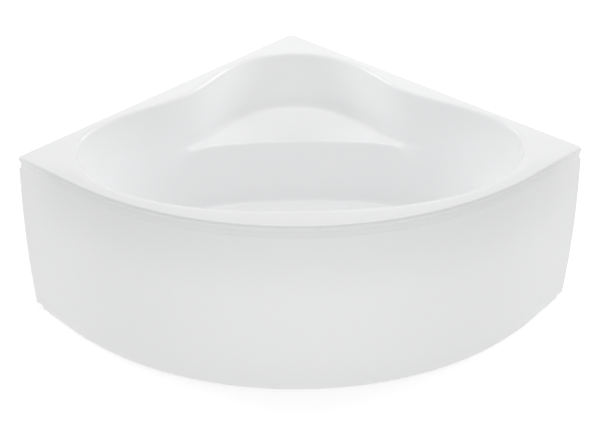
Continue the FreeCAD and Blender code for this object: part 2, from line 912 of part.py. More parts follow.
def make_boards():
    """Boards bonded under the bowl's floor and under the seat."""
    board = new_body("base_board")
    outline = new_sketch(board, "XY_Plane")
    side = board_half_length
    front = -board_front_reach
    back = board_back_reach
    cut = size.board_corner_cut
    draw_polygon(outline, [
        (side - cut / 2, front), (side, front + cut / 2), (side, back - cut), (side - cut, back),
        (cut - side, back), (-side, back - cut), (-side, front + cut / 2), (cut / 2 - side, front)])
    for spot in BOARD_SCREWS.values():
        draw_circle(outline, spot[0], spot[1] - basin_y, size.screw_radius)
    pad(board, outline, size.board_thickness)
    keep(place(board, 0, basin_y, frame_top_z))

    seat = new_body("seat_board")
    outline = new_sketch(seat, "XY_Plane")
    half = size.seat_board_half_length
    depth = size.seat_board_depth / 2
    draw_box(outline, -half, -depth, half, depth)
    draw_screw_holes(outline)
    pad(seat, outline, size.seat_board_thickness)
    keep(place(seat, 0, seat_board_y, seat_under_z - size.seat_board_thickness))

    grip = size.tube_size + size.board_screw_grip
    keep(joined("board_screws", [
        screw_up(f"board_screw_{name}", spot[0], spot[1], frame_under_z, grip)
        for name, spot in BOARD_SCREWS.items()], "Compound"))


# Levelling feet: plastic pad, threaded stud, nut welded under the rail and lock nut below it


def make_nut(label, spot, top, height):
    blank = primitive("Prism", f"{label}_blank", Height=height,
                      Circumradius=size.nut_width / root(as_size(3)))
    blank.Polygon = 6
    bore = primitive("Cylinder", f"{label}_bore", Radius=size.stud_radius + size.stud_fit, Height=height)
    place(blank, spot[0], spot[1], top - height)
    place(bore, spot[0], spot[1], top - height)
    return subtracted(label, blank, bore)


def make_foot_pad(label, spot):
    """Eight-sided plastic pad that fingers can turn, with a six-sided neck round the stud."""
    base = primitive("Prism", f"{label}_base", Circumradius=size.pad_radius, Height=size.pad_height)
    base.Polygon = 8
    neck = primitive("Prism", f"{label}_neck", Height=size.pad_neck_height,
                     Circumradius=size.pad_neck_radius)
    neck.Polygon = 6
    socket = primitive("Cylinder", f"{label}_socket", Radius=size.stud_radius, Height=size.pad_neck_height)
    place(base, spot[0], spot[1])
    place(neck, spot[0], spot[1])
    place(socket, spot[0], spot[1], size.pad_socket_floor)
    keep(subtracted(label, joined(f"{label}_solid", [base, neck]), socket))


def make_feet():
    weld_nuts = []
    lock_nuts = []
    chamfer = size.stud_chamfer
    radius = size.stud_radius
    stud_top = frame_top_z + size.stud_rise
    for name, spot in FEET.items():
        turned(f"foot_stud_{name}", [
            (0, size.pad_socket_floor), (radius, size.pad_socket_floor),
            (radius, stud_top - chamfer), (radius - chamfer, stud_top), (0, stud_top),
        ], spot[0], spot[1])
        make_foot_pad(f"foot_pad_{name}", spot)
        weld_nuts.append(make_nut(f"weld_nut_{name}", spot, frame_under_z, size.weld_nut_height))
        lock_nuts.append(make_nut(
            f"lock_nut_{name}", spot, frame_under_z - size.weld_nut_height, size.lock_nut_height))
    keep(joined("weld_nuts", weld_nuts, "Compound"))
    keep(joined("lock_nuts", lock_nuts, "Compound"))


# Front panel: follows the deck's plan, draws in towards its foot and rolls under

panel_top = lip_bottom_z.value - size.panel_gap.value
panel_bottom = size.panel_floor_gap.value
panel_roll_top = panel_bottom + size.panel_roll_height.value


def panel_draw(level):
    """Inset and growth of the straight returns at a level of the panel."""
    share = ((panel_top - level) / (panel_top - panel_bottom)) ** PANEL_CURVE_POWER
    inset = size.panel_setback.value + size.panel_end_draw.value * share
    return inset, size.panel_return_growth.value * share


def panel_wire(level, inset, growth, wall):
    """Closed section of the panel at a level, from wall to wall."""
    lift = FreeCAD.Vector(0, 0, level)
    side, tangent, front = [point + lift for point in plan_points(inset, growth)[1:]]
    side_in, tangent_in, front_in = [point + lift for point in plan_points(inset + wall, growth)[1:]]
    return Part.Wire([
        Part.makeLine(side, tangent),
        arc_through(tangent, front, mirrored(tangent)),
        Part.makeLine(mirrored(tangent), mirrored(side)),
        Part.makeLine(mirrored(side), mirrored(side_in)),
        Part.makeLine(mirrored(side_in), mirrored(tangent_in)),
        arc_through(mirrored(tangent_in), front_in, tangent_in),
        Part.makeLine(tangent_in, side_in),
        Part.makeLine(side_in, side),
    ])


def panel_front_y(across, level, extra):
    """Place of the panel's front at a distance from the middle and a level."""
    inset, growth = panel_draw(level)
    front = plan_points(inset + extra, growth)[3]
    radius = size.leg_length.value - inset - extra - size.side_return.value - growth
    return front.y + radius - math.sqrt(radius * radius - across * across)


def make_front_panel():
    wall = size.panel_wall.value
    flange = wall + size.panel_flange.value
    sections = []
    for share in PANEL_LEVEL_SHARES:
        level = panel_top + (panel_roll_top - panel_top) * share
        inset, growth = panel_draw(level)
        sections.append(panel_wire(level, inset, growth, wall))
    upper = Part.makeLoft(sections, True, True)
    rolled = []
    for turn in ROLL_TURNS:
        angle = math.radians(turn)
        level = panel_roll_top - size.panel_roll_height.value * math.sin(angle)
        inset, growth = panel_draw(level)
        inset += size.panel_roll_inset.value * (1 - math.cos(angle))
        rolled.append(panel_wire(level, inset, growth, wall))
    roll = Part.makeLoft(rolled, True, True)
    foot_inset, foot_growth = panel_draw(panel_bottom)
    foot_inset += size.panel_roll_inset.value
    foot = prism(panel_wire(panel_bottom, foot_inset, foot_growth, flange), wall)
    top_inset, top_growth = panel_draw(panel_top)
    head = prism(panel_wire(panel_top - wall, top_inset + wall / 2, top_growth, flange - wall / 2), wall)
    panel = upper.fuse([roll, foot, head])
    tools = [notch_tool(sign) for sign in (-1, 1)]
    tools += [Part.makeCylinder(size.screw_radius.value, size.overrun.value + wall, FreeCAD.Vector(
        sign * front_post_x.value, panel_screw_y, panel_bottom - size.overrun.value))
        for sign in (-1, 1)]
    shaped("front_panel", panel.cut(tools))


def notch_tool(sign):
    """Block that cuts the notch at the panel's foot beside a wall."""
    reach = size.overrun.value
    notch = size.panel_notch.value
    inset = panel_draw(panel_bottom)[0] + size.panel_roll_inset.value
    length = inset + size.panel_flange.value + notch + reach
    low_corner = FreeCAD.Vector(reach - length, -notch, -reach)
    block = Part.makeBox(length, notch + reach, notch + reach, low_corner)
    side = plan_points(0)[1]
    block.Placement = FreeCAD.Placement(
        FreeCAD.Vector(side.x, side.y, panel_bottom), FreeCAD.Rotation(FreeCAD.Vector(0, 0, 1), -45))
    if sign < 0:
        block = block.mirror(FreeCAD.Vector(0, 0, 0), FreeCAD.Vector(1, 0, 0))
    return block


foot_rear_y = panel_front_y(
    front_post_x.value, panel_bottom,
    size.panel_roll_inset.value + size.panel_wall.value + size.panel_flange.value)
panel_screw_y = foot_rear_y - size.panel_flange.value / 2


def bent_strip(points, width, across):
    """Bent steel strip: an outline of Y and Z, spread evenly to both sides of a plane."""
    corners = [FreeCAD.Vector(across - width / 2, *point) for point in points]
    face = Part.Face(Part.makePolygon(corners + corners[:1]))
    return face.extrude(FreeCAD.Vector(width, 0, 0))


def make_panel_fixings():
    """Clips under the panel's head, straps down to its foot and their screws."""
    thick = size.strip_thickness.value
    width = size.strip_width.value
    post_face = front_post_y.value - size.tube_size.value / 2
    seat = panel_top - size.panel_wall.value
    clip_edge = front_post_x.value + width / 2
    tongue = panel_front_y(clip_edge, panel_top, size.panel_wall.value + size.seat_clearance.value)
    low = seat - size.clip_height.value
    rail = frame_under_z.value
    foot = panel_bottom + size.panel_wall.value
    clips = []
    straps = []
    screws = []
    for sign in (-1, 1):
        across = sign * front_post_x.value
        clips.append(bent_strip([
            (post_face, low), (post_face, seat), (tongue, seat), (tongue, seat - thick),
            (post_face - thick, seat - thick), (post_face - thick, low)], width, across))
        toe = foot_rear_y - size.panel_flange.value + thick
        strap = bent_strip([
            (foot_rear_y, rail), (foot_rear_y + thick, rail), (foot_rear_y + thick, foot),
            (toe, foot), (toe, foot + thick), (foot_rear_y, foot + thick)], width, across)
        bore = Part.makeCylinder(size.screw_radius.value, size.overrun.value + thick,
                                 FreeCAD.Vector(across, panel_screw_y, foot - size.overrun.value / 2))
        straps.append(strap.cut(bore))
        shank = Part.makeCylinder(size.screw_radius.value, thick + size.panel_wall.value,
                                  FreeCAD.Vector(across, panel_screw_y, panel_bottom))
        head = Part.makeCone(size.screw_head_radius.value,
                             size.screw_head_radius.value - size.screw_head_round.value,
                             size.screw_head_height.value,
                             FreeCAD.Vector(across, panel_screw_y, foot + thick))
        screws.append(shank.fuse(head))
    shaped("panel_clips", Part.makeCompound(clips))
    shaped("panel_straps", Part.makeCompound(straps))
    shaped("panel_screws", Part.makeCompound(screws))


# Wall hooks that hold the lip from below


def make_hook(label, distance, turn, sign):
    """Bent plate screwed to the wall, its shelf under the lip and its tab behind it."""
    body = new_body(label)
    section = new_sketch(body, "YZ_Plane")
    thick = size.hook_thickness
    reach = size.nose_overhang + size.shell_wall + size.hook_lip_gap
    draw_polygon(section, [
        (0, -size.hook_height), (thick, -size.hook_height), (thick, -thick),
        (reach + thick, -thick), (reach + thick, size.hook_tab), (reach, size.hook_tab),
        (reach, 0), (0, 0)])
    pad(body, section, size.hook_width, midplane=True)
    hole = new_sketch(body, "XZ_Plane")
    draw_circle(hole, 0, -size.hook_hole_drop, size.hook_hole_radius)
    drill(body, hole)
    rotation = FreeCAD.Rotation(FreeCAD.Vector(0, 0, 1), turn)
    return place(body, sign * distance / ROOT_TWO, corner_y - distance / ROOT_TWO, lip_bottom_z, rotation)


def make_hooks():
    hook_far = size.leg_length - size.hook_far_from_end
    for side, turn, sign in (("left", -135, -1), ("right", 135, 1)):
        pair = [make_hook(f"hook_{side}_near", size.hook_near, turn, sign),
                make_hook(f"hook_{side}_far", hook_far, turn, sign)]
        keep(joined(f"wall_hooks_{side}", pair, "Compound"))


# Waste: strainer, plug, body and trap on one upright axis

stem_in = size.waste_stem_radius - size.waste_stem_wall
lip_top = size.waste_seal + size.waste_lip_height
body_top = -size.shell_wall - size.waste_gasket
cup_top = body_top - size.waste_flange_height
cup_bottom = cup_top - size.waste_cup_height
mouth_z = cup_bottom - size.trap_mouth_drop
port_z = (cup_top + cup_bottom) / 2
drain_in = size.drain_radius - size.drain_wall
pipe_in = size.pipe_radius - size.pipe_wall
socket_radius = size.pipe_radius + size.socket_wall
waste_port_y = -size.waste_cup_radius - size.socket_length / 2


def arms(label, across, along, up, length, count):
    """Crossed bars through an axis."""
    bars = []
    for step in range(count):
        bar = primitive("Box", f"{label}_{step}", Length=length * 2,
                        Width=size.waste_arm, Height=size.waste_arm)
        turn = FreeCAD.Rotation(FreeCAD.Vector(0, 0, 1), 180 * step / count)
        corner = turn.multVec(FreeCAD.Vector(-length.value, -size.waste_arm.value / 2, 0))
        bar.Placement = FreeCAD.Placement(
            corner + FreeCAD.Vector(across.value, along.value, up.value), turn)
        bars.append(bar)
    return bars


def hub_bored(label, rim, bars, hub, bore):
    """A turned rim with a hub on crossed bars, bored through."""
    return subtracted(label, joined(f"{label}_solid", [rim, *bars, hub]), bore)


def make_waste():
    seal_edge = size.waste_lip_radius - size.waste_seal
    turned("waste_seal", [
        (size.waste_hole_radius, 0), (seal_edge, 0), (seal_edge, size.waste_seal),
        (size.waste_hole_radius, size.waste_seal)], 0, waste_y, floor_z)
    gasket_edge = size.waste_flange_radius - size.waste_lip_height
    turned("waste_gasket", [
        (size.waste_hole_radius, body_top), (gasket_edge, body_top),
        (gasket_edge, -size.shell_wall), (size.waste_hole_radius, -size.shell_wall)],
        0, waste_y, floor_z)

    rim = new_body("strainer_rim")
    revolve(rim, [
        (size.waste_stem_radius, size.waste_seal), (size.waste_lip_radius, size.waste_seal),
        (size.waste_lip_radius, lip_top - size.waste_lip_height / 3),
        (size.waste_lip_radius - size.waste_seal, lip_top),
        (size.plug_radius, lip_top), (size.waste_stem_radius, lip_top - size.waste_lip_height / 2),
        (stem_in, lip_top - size.shell_wall),
        (stem_in, -size.waste_stem_length), (size.waste_stem_radius, -size.waste_stem_length)])
    place(rim, 0, waste_y, floor_z)
    arm_z = floor_z - size.waste_stem_length + size.waste_arm
    bars = arms("strainer_arm", as_size(0), waste_y, arm_z,
                stem_in + size.waste_arm / 3, STRAINER_ARMS // 2)
    hub = primitive("Cylinder", "strainer_hub", Radius=size.waste_hub_radius, Height=size.waste_arm)
    place(hub, 0, waste_y, arm_z)
    bore = primitive("Cylinder", "strainer_bore", Radius=size.plug_stem_radius + size.plug_fit,
                     Height=size.waste_arm * 3)
    place(bore, 0, waste_y, arm_z - size.waste_arm)
    keep(hub_bored("waste_strainer", rim, bars, hub, bore))

    crown = lip_top + size.seat_clearance
    edge = crown + size.plug_crown / 3
    turned("waste_plug", [
        (0, -size.plug_stem_length), (size.plug_stem_radius, -size.plug_stem_length),
        (size.plug_stem_radius, -size.waste_seal), (stem_in - size.waste_arm, -size.waste_seal),
        (stem_in - size.waste_seal, crown), (size.plug_radius - size.waste_seal, crown),
        (size.plug_radius, crown + size.seat_clearance), (size.plug_radius, edge),
        (size.plug_radius - size.plug_crown, crown + size.plug_crown * 3 / 4),
        (0, crown + size.plug_crown)], 0, waste_y, floor_z)

    outer = new_body("waste_body_outer")
    revolve(outer, [
        (0, body_top), (size.waste_flange_radius, body_top), (size.waste_flange_radius, cup_top),
        (size.waste_cup_radius, cup_top), (size.waste_cup_radius, cup_bottom),
        (size.drain_radius, cup_bottom), (size.drain_radius, mouth_z), (0, mouth_z)])
    inner = new_body("waste_body_inner")
    cup_in = size.waste_cup_radius - size.waste_cup_wall
    neck = -size.waste_stem_length - size.waste_seal
    revolve(inner, [
        (0, body_top + size.overrun), (size.waste_stem_radius, body_top + size.overrun),
        (size.waste_stem_radius, neck), (cup_in, neck), (cup_in, cup_bottom + size.waste_cup_wall),
        (drain_in, cup_bottom + size.waste_cup_wall), (drain_in, mouth_z - size.overrun),
        (0, mouth_z - size.overrun)])
    place(outer, 0, waste_y, floor_z)
    place(inner, 0, waste_y, floor_z)
    flat = FreeCAD.Rotation(FreeCAD.Vector(1, 0, 0), 90)
    port = primitive("Cylinder", "waste_port", Radius=socket_radius, Height=-waste_port_y)
    port_bore = primitive("Cylinder", "waste_port_bore", Radius=size.pipe_radius,
                          Height=size.overrun - waste_port_y)
    place(port, 0, waste_y, floor_z + port_z, flat)
    place(port_bore, 0, waste_y, floor_z + port_z, flat)
    keep(subtracted("waste_body", joined("waste_body_solid", [outer, port]),
                    joined("waste_body_hollow", [inner, port_bore])))

    nut_half = size.trap_nut_height / 2
    blank = primitive("Prism", "trap_nut_blank", Height=size.trap_nut_height,
                      Circumradius=size.trap_nut_radius)
    blank.Polygon = 8
    place(blank, 0, waste_y, floor_z + mouth_z - nut_half)
    hole = primitive("Cylinder", "trap_nut_bore", Radius=size.drain_radius, Height=size.trap_nut_height)
    place(hole, 0, waste_y, floor_z + mouth_z - nut_half)
    keep(subtracted("trap_nut", blank, hole))


def swept(path, radius):
    """Rod swept along a path of lines and tangent arcs."""
    first = path.Edges[0]
    start = first.valueAt(first.FirstParameter)
    heading = first.tangentAt(first.FirstParameter)
    return path.makePipe(Part.Face(Part.Wire(Part.makeCircle(radius, start, heading))))


def quarter(start, centre, end):
    """Quarter circle from one point to another about a centre."""
    middle = centre + (start - centre + end - centre).normalize() * (start - centre).Length
    return arc_through(start, middle, end)


def make_trap():
    """Cup trap: a neck into a round cup, and a level outlet turned beside the rear foot."""
    neck_top = mouth_z
    cup_top_z = mouth_z - size.trap_neck
    cup_foot_z = cup_top_z - size.trap_cup_height
    outlet_z = cup_top_z - size.trap_outlet_drop
    edge = size.trap_cup_radius
    chamfer = size.trap_cup_chamfer
    outer = new_body("trap_outer")
    revolve(outer, [
        (0, neck_top), (size.drain_radius, neck_top), (size.drain_radius, cup_top_z),
        (edge, cup_top_z), (edge, cup_foot_z + chamfer), (edge - chamfer, cup_foot_z), (0, cup_foot_z)])
    place(outer, 0, waste_y, floor_z)
    inner = new_body("trap_inner")
    wall = size.drain_wall
    revolve(inner, [
        (0, neck_top + wall), (drain_in, neck_top + wall), (drain_in, cup_top_z - wall),
        (edge - wall, cup_top_z - wall), (edge - wall, cup_foot_z + chamfer),
        (edge - chamfer - wall, cup_foot_z + wall), (0, cup_foot_z + wall)])
    place(inner, 0, waste_y, floor_z)
    stop = edge + size.trap_collar_reach
    groove_end = stop + size.trap_groove_width
    groove_radius = size.drain_radius - size.trap_groove_depth
    spigot = new_body("trap_spigot")
    revolve(spigot, [
        (0, 0), (size.trap_collar_radius, 0), (size.trap_collar_radius, stop), (groove_radius, stop),
        (groove_radius, groove_end), (size.drain_radius, groove_end),
        (size.drain_radius, edge + size.trap_outlet), (0, edge + size.trap_outlet)])
    bore = primitive("Cylinder", "trap_bore", Radius=drain_in, Height=edge + size.trap_outlet + wall)
    aside = FreeCAD.Rotation(FreeCAD.Vector(0, 0, 1), -TRAP_TURN)
    level = aside.multiply(FreeCAD.Rotation(FreeCAD.Vector(1, 0, 0), -90))
    place(spigot, 0, waste_y, floor_z + outlet_z, level)
    place(bore, 0, waste_y, floor_z + outlet_z, level)
    keep(subtracted("trap", joined("trap_solid", [outer, spigot]), joined("trap_hollow", [inner, bore])))


# Overflow on the front wall and its pipe

cup_axis = -(size.shell_wall + size.overflow_gasket + size.overflow_cup_depth / 2)
cup_centre = overflow_place.multVec(FreeCAD.Vector(0, 0, cup_axis.value))
port_bottom = cup_centre.z - size.socket_length.value
ring_top = size.overflow_ring_seat + size.overflow_ring_height


def seated(item):
    """Put a piece of the overflow square to the wall."""
    item.Placement = overflow_place
    return item


def overflow_turned(label, corners):
    body = new_body(label)
    revolve(body, corners)
    return seated(body)


def make_overflow():
    stem = size.overflow_stem_radius
    stem_inside = stem - size.overflow_stem_wall
    edge = size.overflow_ring_radius
    rim = overflow_turned("overflow_rim", [
        (stem, size.overflow_ring_seat), (edge, size.overflow_ring_seat),
        (edge, ring_top - size.overflow_ring_seat), (edge - size.overflow_ring_seat, ring_top),
        (stem_inside, ring_top), (stem_inside, -size.overflow_stem_length),
        (stem, -size.overflow_stem_length)])
    hub_z = size.overflow_stem_length / 2
    spokes = []
    for step in range(STRAINER_ARMS // 2):
        bar = primitive("Box", f"overflow_spoke_{step}", Length=stem_inside * 2 + size.waste_arm,
                        Width=size.waste_arm, Height=size.waste_arm)
        turn = FreeCAD.Rotation(FreeCAD.Vector(0, 0, 1), 180 * step / (STRAINER_ARMS // 2))
        corner = FreeCAD.Vector(-stem_inside.value - size.waste_arm.value / 2, -size.waste_arm.value / 2,
                                -hub_z.value)
        bar.Placement = overflow_place.multiply(FreeCAD.Placement(turn.multVec(corner), turn))
        spokes.append(bar)
    hub = primitive("Cylinder", "overflow_hub", Radius=size.waste_hub_radius, Height=size.waste_arm)
    hub.Placement = overflow_place.multiply(
        FreeCAD.Placement(FreeCAD.Vector(0, 0, -hub_z.value), FreeCAD.Rotation()))
    bore = primitive("Cylinder", "overflow_bore", Radius=size.spindle_radius + size.spindle_fit,
                     Height=size.waste_arm * 3)
    bore.Placement = overflow_place.multiply(
        FreeCAD.Placement(FreeCAD.Vector(0, 0, -hub_z.value - size.waste_arm.value), FreeCAD.Rotation()))
    keep(hub_bored("overflow_ring", rim, spokes, hub, bore))

    gasket_edge = size.overflow_flange_radius - size.overflow_ring_seat
    behind = -size.shell_wall
    flange_top = behind - size.overflow_gasket
    flange_back = flange_top - size.overflow_flange_height
    cup_back = flange_top - size.overflow_cup_depth
    keep(overflow_turned("overflow_gasket", [
        (size.overflow_hole_radius, behind), (gasket_edge, behind), (gasket_edge, flange_top),
        (size.overflow_hole_radius, flange_top)]))
    outer = overflow_turned("overflow_body_outer", [
        (0, flange_top), (size.overflow_flange_radius, flange_top),
        (size.overflow_flange_radius, flange_back), (size.overflow_cup_radius, flange_back),
        (size.overflow_cup_radius, cup_back), (0, cup_back)])
    inner = overflow_turned("overflow_body_inner", [
        (0, flange_top + size.overrun), (stem, flange_top + size.overrun),
        (stem, cup_back + size.waste_cup_wall), (0, cup_back + size.waste_cup_wall)])
    above = size.socket_wall
    port = primitive("Cylinder", "overflow_port", Radius=socket_radius, Height=size.socket_length + above)
    port.Placement.Base = FreeCAD.Vector(0, cup_centre.y, port_bottom)
    port_bore = primitive("Cylinder", "overflow_port_bore", Radius=size.pipe_radius,
                          Height=size.socket_length + size.overrun + above)
    port_bore.Placement.Base = FreeCAD.Vector(0, cup_centre.y, port_bottom - size.overrun.value)
    cup = subtracted("overflow_body_cup", joined("overflow_body_solid", [outer, port]), inner)
    keep(subtracted("overflow_body", cup, port_bore))


def make_knob():
    """Round turning knob, dished behind, with finger scallops round its rim."""
    base = ring_top + size.knob_gap
    skirt = size.knob_radius - size.waste_cup_wall
    top = base + size.knob_height
    knob = new_body("overflow_knob")
    revolve(knob, [
        (0, -size.overflow_stem_length), (size.spindle_radius, -size.overflow_stem_length),
        (size.spindle_radius, base + size.knob_height / 2), (skirt, base + size.knob_height / 3),
        (skirt, base), (size.knob_radius, base), (size.knob_radius, base + size.knob_height / 2),
        (skirt, top - size.knob_gap), (size.knob_radius / 2, top - size.overflow_ring_seat), (0, top)])
    scallop = new_sketch(knob, "XY_Plane")
    draw_circle(scallop, size.knob_radius + size.knob_scallop_radius - size.knob_scallop_depth, 0,
                size.knob_scallop_radius)
    pocket = drill(knob, scallop)
    pattern = knob.newObject("PartDesign::PolarPattern", "knob_scallops")
    pattern.Originals = [pocket]
    pattern.Axis = (next(item for item in knob.Origin.OriginFeatures if item.Role == "Z_Axis"), [""])
    pattern.Angle = 360
    pattern.Occurrences = KNOB_SCALLOPS
    knob.Tip = pattern
    keep(seated(knob))


def make_overflow_pipe():
    """Down behind the bowl, round one bend and level to the waste; the plug's linkage runs in it."""
    bend = size.pipe_bend_radius.value
    along = cup_centre.y
    level = floor_z.value + port_z.value
    top = FreeCAD.Vector(0, along, port_bottom + size.overrun.value)
    bend_top = FreeCAD.Vector(0, along, level + bend)
    bend_end = FreeCAD.Vector(0, along + bend, level)
    end = FreeCAD.Vector(0, waste_y.value + waste_port_y.value + size.overrun.value, level)
    path = Part.Wire([
        Part.makeLine(top, bend_top),
        quarter(bend_top, FreeCAD.Vector(0, along + bend, level + bend), bend_end),
        Part.makeLine(bend_end, end)])
    outside = swept(path, size.pipe_radius.value)
    shaped("overflow_pipe", outside.cut(swept(path, pipe_in.value)))


make_tub_shell()
make_boards()
make_rails()
make_posts()
make_feet()
make_front_panel()
make_panel_fixings()
make_hooks()
make_waste()
make_trap()
make_overflow()
make_knob()
make_overflow_pipe()

doc.recompute()

for item in doc.Objects:
    if "Invalid" in item.State or "Error" in item.State:
        raise RuntimeError(f"{item.Label} did not build")
for node in nodes:
    if node.Shape.isNull() or not node.Shape.isValid():
        raise RuntimeError(f"{node.Label} has no sound shape")

os.makedirs("parts", exist_ok=True)
for node in nodes:
    node.Shape.exportStep(f"parts/{node.Label}.step")
    print(node.Label, len(node.Shape.Solids), round(node.Shape.Volume))
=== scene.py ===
import json
import math

import bmesh
import bpy
import numpy as np
from mathutils import Matrix, Vector, geometry


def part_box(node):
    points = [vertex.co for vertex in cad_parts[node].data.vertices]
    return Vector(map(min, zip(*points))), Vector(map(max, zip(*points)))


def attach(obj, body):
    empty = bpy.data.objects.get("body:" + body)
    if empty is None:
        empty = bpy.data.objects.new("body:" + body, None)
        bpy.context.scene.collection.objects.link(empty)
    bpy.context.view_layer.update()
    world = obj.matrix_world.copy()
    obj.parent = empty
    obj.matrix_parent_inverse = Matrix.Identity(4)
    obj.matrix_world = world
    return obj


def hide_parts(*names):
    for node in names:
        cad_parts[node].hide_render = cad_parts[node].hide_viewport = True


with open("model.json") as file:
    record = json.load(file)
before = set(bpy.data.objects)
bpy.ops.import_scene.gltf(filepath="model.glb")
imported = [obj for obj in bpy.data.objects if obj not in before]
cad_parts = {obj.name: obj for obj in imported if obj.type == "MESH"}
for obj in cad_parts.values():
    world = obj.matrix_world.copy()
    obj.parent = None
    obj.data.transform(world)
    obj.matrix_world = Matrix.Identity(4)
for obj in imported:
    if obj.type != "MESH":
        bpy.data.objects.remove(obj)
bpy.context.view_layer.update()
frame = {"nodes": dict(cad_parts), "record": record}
record = frame["record"]
slot_of = {part["node"]: part["material_slot"] for part in record["subparts"]}

# Sizes of the shell and the panel, in millimetres as in the solid model
LEG = 1400
SIDE_RETURN = 285
RIM_HEIGHT = 650
WALL_CORNER = 24
SIDE_CORNER = 13
SHELL_WALL = 5
LIP_HEIGHT = 47
NOSE_HEIGHT = 18
NOSE_RADIUS = 8
NOSE_OVERHANG = 6
RIM_ROLL = 20
BASIN_FROM_CHORD = 60
DECK_END_WIDTH = 204
DECK_FRONT_WIDTH = 112
DECK_CORNER_DEPTH = 476
NICHE_REACH = 306
SEAT_DROP = 210
SEAT_END_DRAW = 61
SEAT_FRONT_DRAW = 27
SEAT_NICHE_REACH = 276
SEAT_BACK_ROUND = 46
SEAT_EDGE_ROUND = 16
BOWL_DEPTH = 445
FLOOR_END_DRAW = 226
FLOOR_FRONT_DRAW = 91
FLOOR_BACK_DRAW = 69
FLOOR_ROUND = 34
PANEL_WALL = 4
PANEL_GAP = 1
PANEL_SETBACK = 8
PANEL_FLOOR_GAP = 5
PANEL_FLANGE = 12
PANEL_END_DRAW = 44
PANEL_RETURN_GROWTH = 63
PANEL_ROLL_HEIGHT = 26
PANEL_ROLL_INSET = 16
PANEL_BOW_RELIEF = 26.5
PANEL_ROLL_RELIEF = 8
PANEL_BOW_HALF = 955
PANEL_BOW_FADE = 220
PANEL_NOTCH = 30
NOTCH_OVERREACH = 10
WASTE_HOLE = 25
OVERFLOW_HOLE = 27
OVERFLOW_DROP = 75
WASTE_FROM_FLOOR_EDGE = 170

# Shape figures without a length
RIM_FRONT_POWER = 2.25
RIM_BACK_POWER = 1.825
SEAT_POWER = 2.23
FLOOR_POWER = 2.6
NICHE_HALF_ANGLE = math.radians(32.4)
NICHE_POWER = 2.3
WALL_POWER = 1.38
PANEL_CURVE_POWER = 2.2
WALL_DEPTH_SHARES = (0.15, 0.29, 0.38, 0.44, 0.48, 0.52, 0.56, 0.61, 0.68, 0.8, 0.93)
NICHE_WALL_SHARES = (0.4, 0.75)
SEAT_FLAT_SHARE = 0.3
RISER_SHARE = 0.5
SEAT_BLEND_SHARE = 0.16

# Threads of the levelling feet
FEET = ("back", "left", "right", "front_left", "front_right")
THREAD_CORE = 5.15
THREAD_PITCH = 1.75
THREAD_TURN = math.pi
THREAD_SHORT_TURNS = 2

# Mesh fineness and allowances
NET_COLUMNS = 72
COLUMN_STEPS = 4
ROW_STEPS = 7
DEGREE = 3
END_ALLOWANCE = 1e-9
FRONT_STEPS = 168
RETURN_STEPS = 10
CORNER_STEPS = 8
PANEL_STEPS = 24
ROLL_TURNS = range(8, 81, 8)
LIP_FOOT_ROWS = ((0, 1.5), (0.3, 0.5), (1, 0))
THREAD_STEPS = 24
THREAD_CORE_SIDES = 48
HOLE_SIDES = 96
CUTTER_LENGTH = SHELL_WALL * 6
COLLAR = 2
LEAST_ROUND = 0.5
FACET_ALLOWANCE = 0.1
MILLIMETRE = 0.001
MERGE = 0.000001
CREASE = math.radians(32)

# Painted shade on the moulded sheet along the bow, from 0 for its full white to 1 for its darkest painted
# shade
PAINTED_SHADE_ATTRIBUTE = "nose_shade"
NOSE_TOP_SHADES = (0.2, 0.35, 0.55, 0.7, 0.8, 0.85, 0.9, 0.9, 0.95, 1.0)
NOSE_UNDER_SHADES = (1.0, 1.0, 1.0, 0.95, 0.85, 0.7)
LIP_TOP = 4
LIP_TOP_SHADE = 0.95
LIP_FOOT_SHADE = 0.9
DECK_SHADE = 0.4
DECK_SHADE_REACH = 45
DECK_RING_SHADE = 0.3
BOW_SHADE_START = 160
PANEL_HEAD_SHADE = 0.6
PANEL_SHADE_FROM = 330

# Places worked out from the sizes
CORNER_Y = (LEG + (SIDE_RETURN + WALL_CORNER) * (math.sqrt(2) - 1)) / 2
CHORD_Y = CORNER_Y - LEG / math.sqrt(2)
BASIN_Y = CHORD_Y + BASIN_FROM_CHORD
FRONT_Y = CORNER_Y - SIDE_RETURN * math.sqrt(2) - (LEG - SIDE_RETURN)
RIM_HALF_LENGTH = LEG / math.sqrt(2) - DECK_END_WIDTH
RIM_FRONT_REACH = BASIN_Y - FRONT_Y - DECK_FRONT_WIDTH
RIM_BACK_REACH = CORNER_Y - BASIN_Y - DECK_CORNER_DEPTH
SEAT_HALF_LENGTH = RIM_HALF_LENGTH - SEAT_END_DRAW
SEAT_REACH = RIM_BACK_REACH - SEAT_FRONT_DRAW
FLOOR_HALF_LENGTH = RIM_HALF_LENGTH - FLOOR_END_DRAW
FLOOR_FRONT_REACH = RIM_FRONT_REACH - FLOOR_FRONT_DRAW
FLOOR_BACK_REACH = RIM_BACK_REACH - FLOOR_BACK_DRAW
WASTE_Y = BASIN_Y - FLOOR_FRONT_REACH + WASTE_FROM_FLOOR_EDGE
LIP_FOOT = RIM_HEIGHT - LIP_HEIGHT
PANEL_TOP = LIP_FOOT - PANEL_GAP
LEG_WAY = np.array([1, -1]) / math.sqrt(2)
RETURN_WAY = np.array([-1, -1]) / math.sqrt(2)


# Shader building

class Value:
    """A socket in a shader, so that its maths reads as plain expressions."""

    def __init__(self, shader, socket):
        self.shader = shader
        self.socket = socket

    def maths(self, operation, first, second):
        return self.shader.node("ShaderNodeMath", {"operation": operation}, {0: first, 1: second})

    def __add__(self, other):
        return self.maths("ADD", self, other)

    def __sub__(self, other):
        return self.maths("SUBTRACT", self, other)

    def __mul__(self, other):
        return self.maths("MULTIPLY", self, other)

    def __radd__(self, other):
        return self.maths("ADD", other, self)

    def __rsub__(self, other):
        return self.maths("SUBTRACT", other, self)

    def __rmul__(self, other):
        return self.maths("MULTIPLY", other, self)


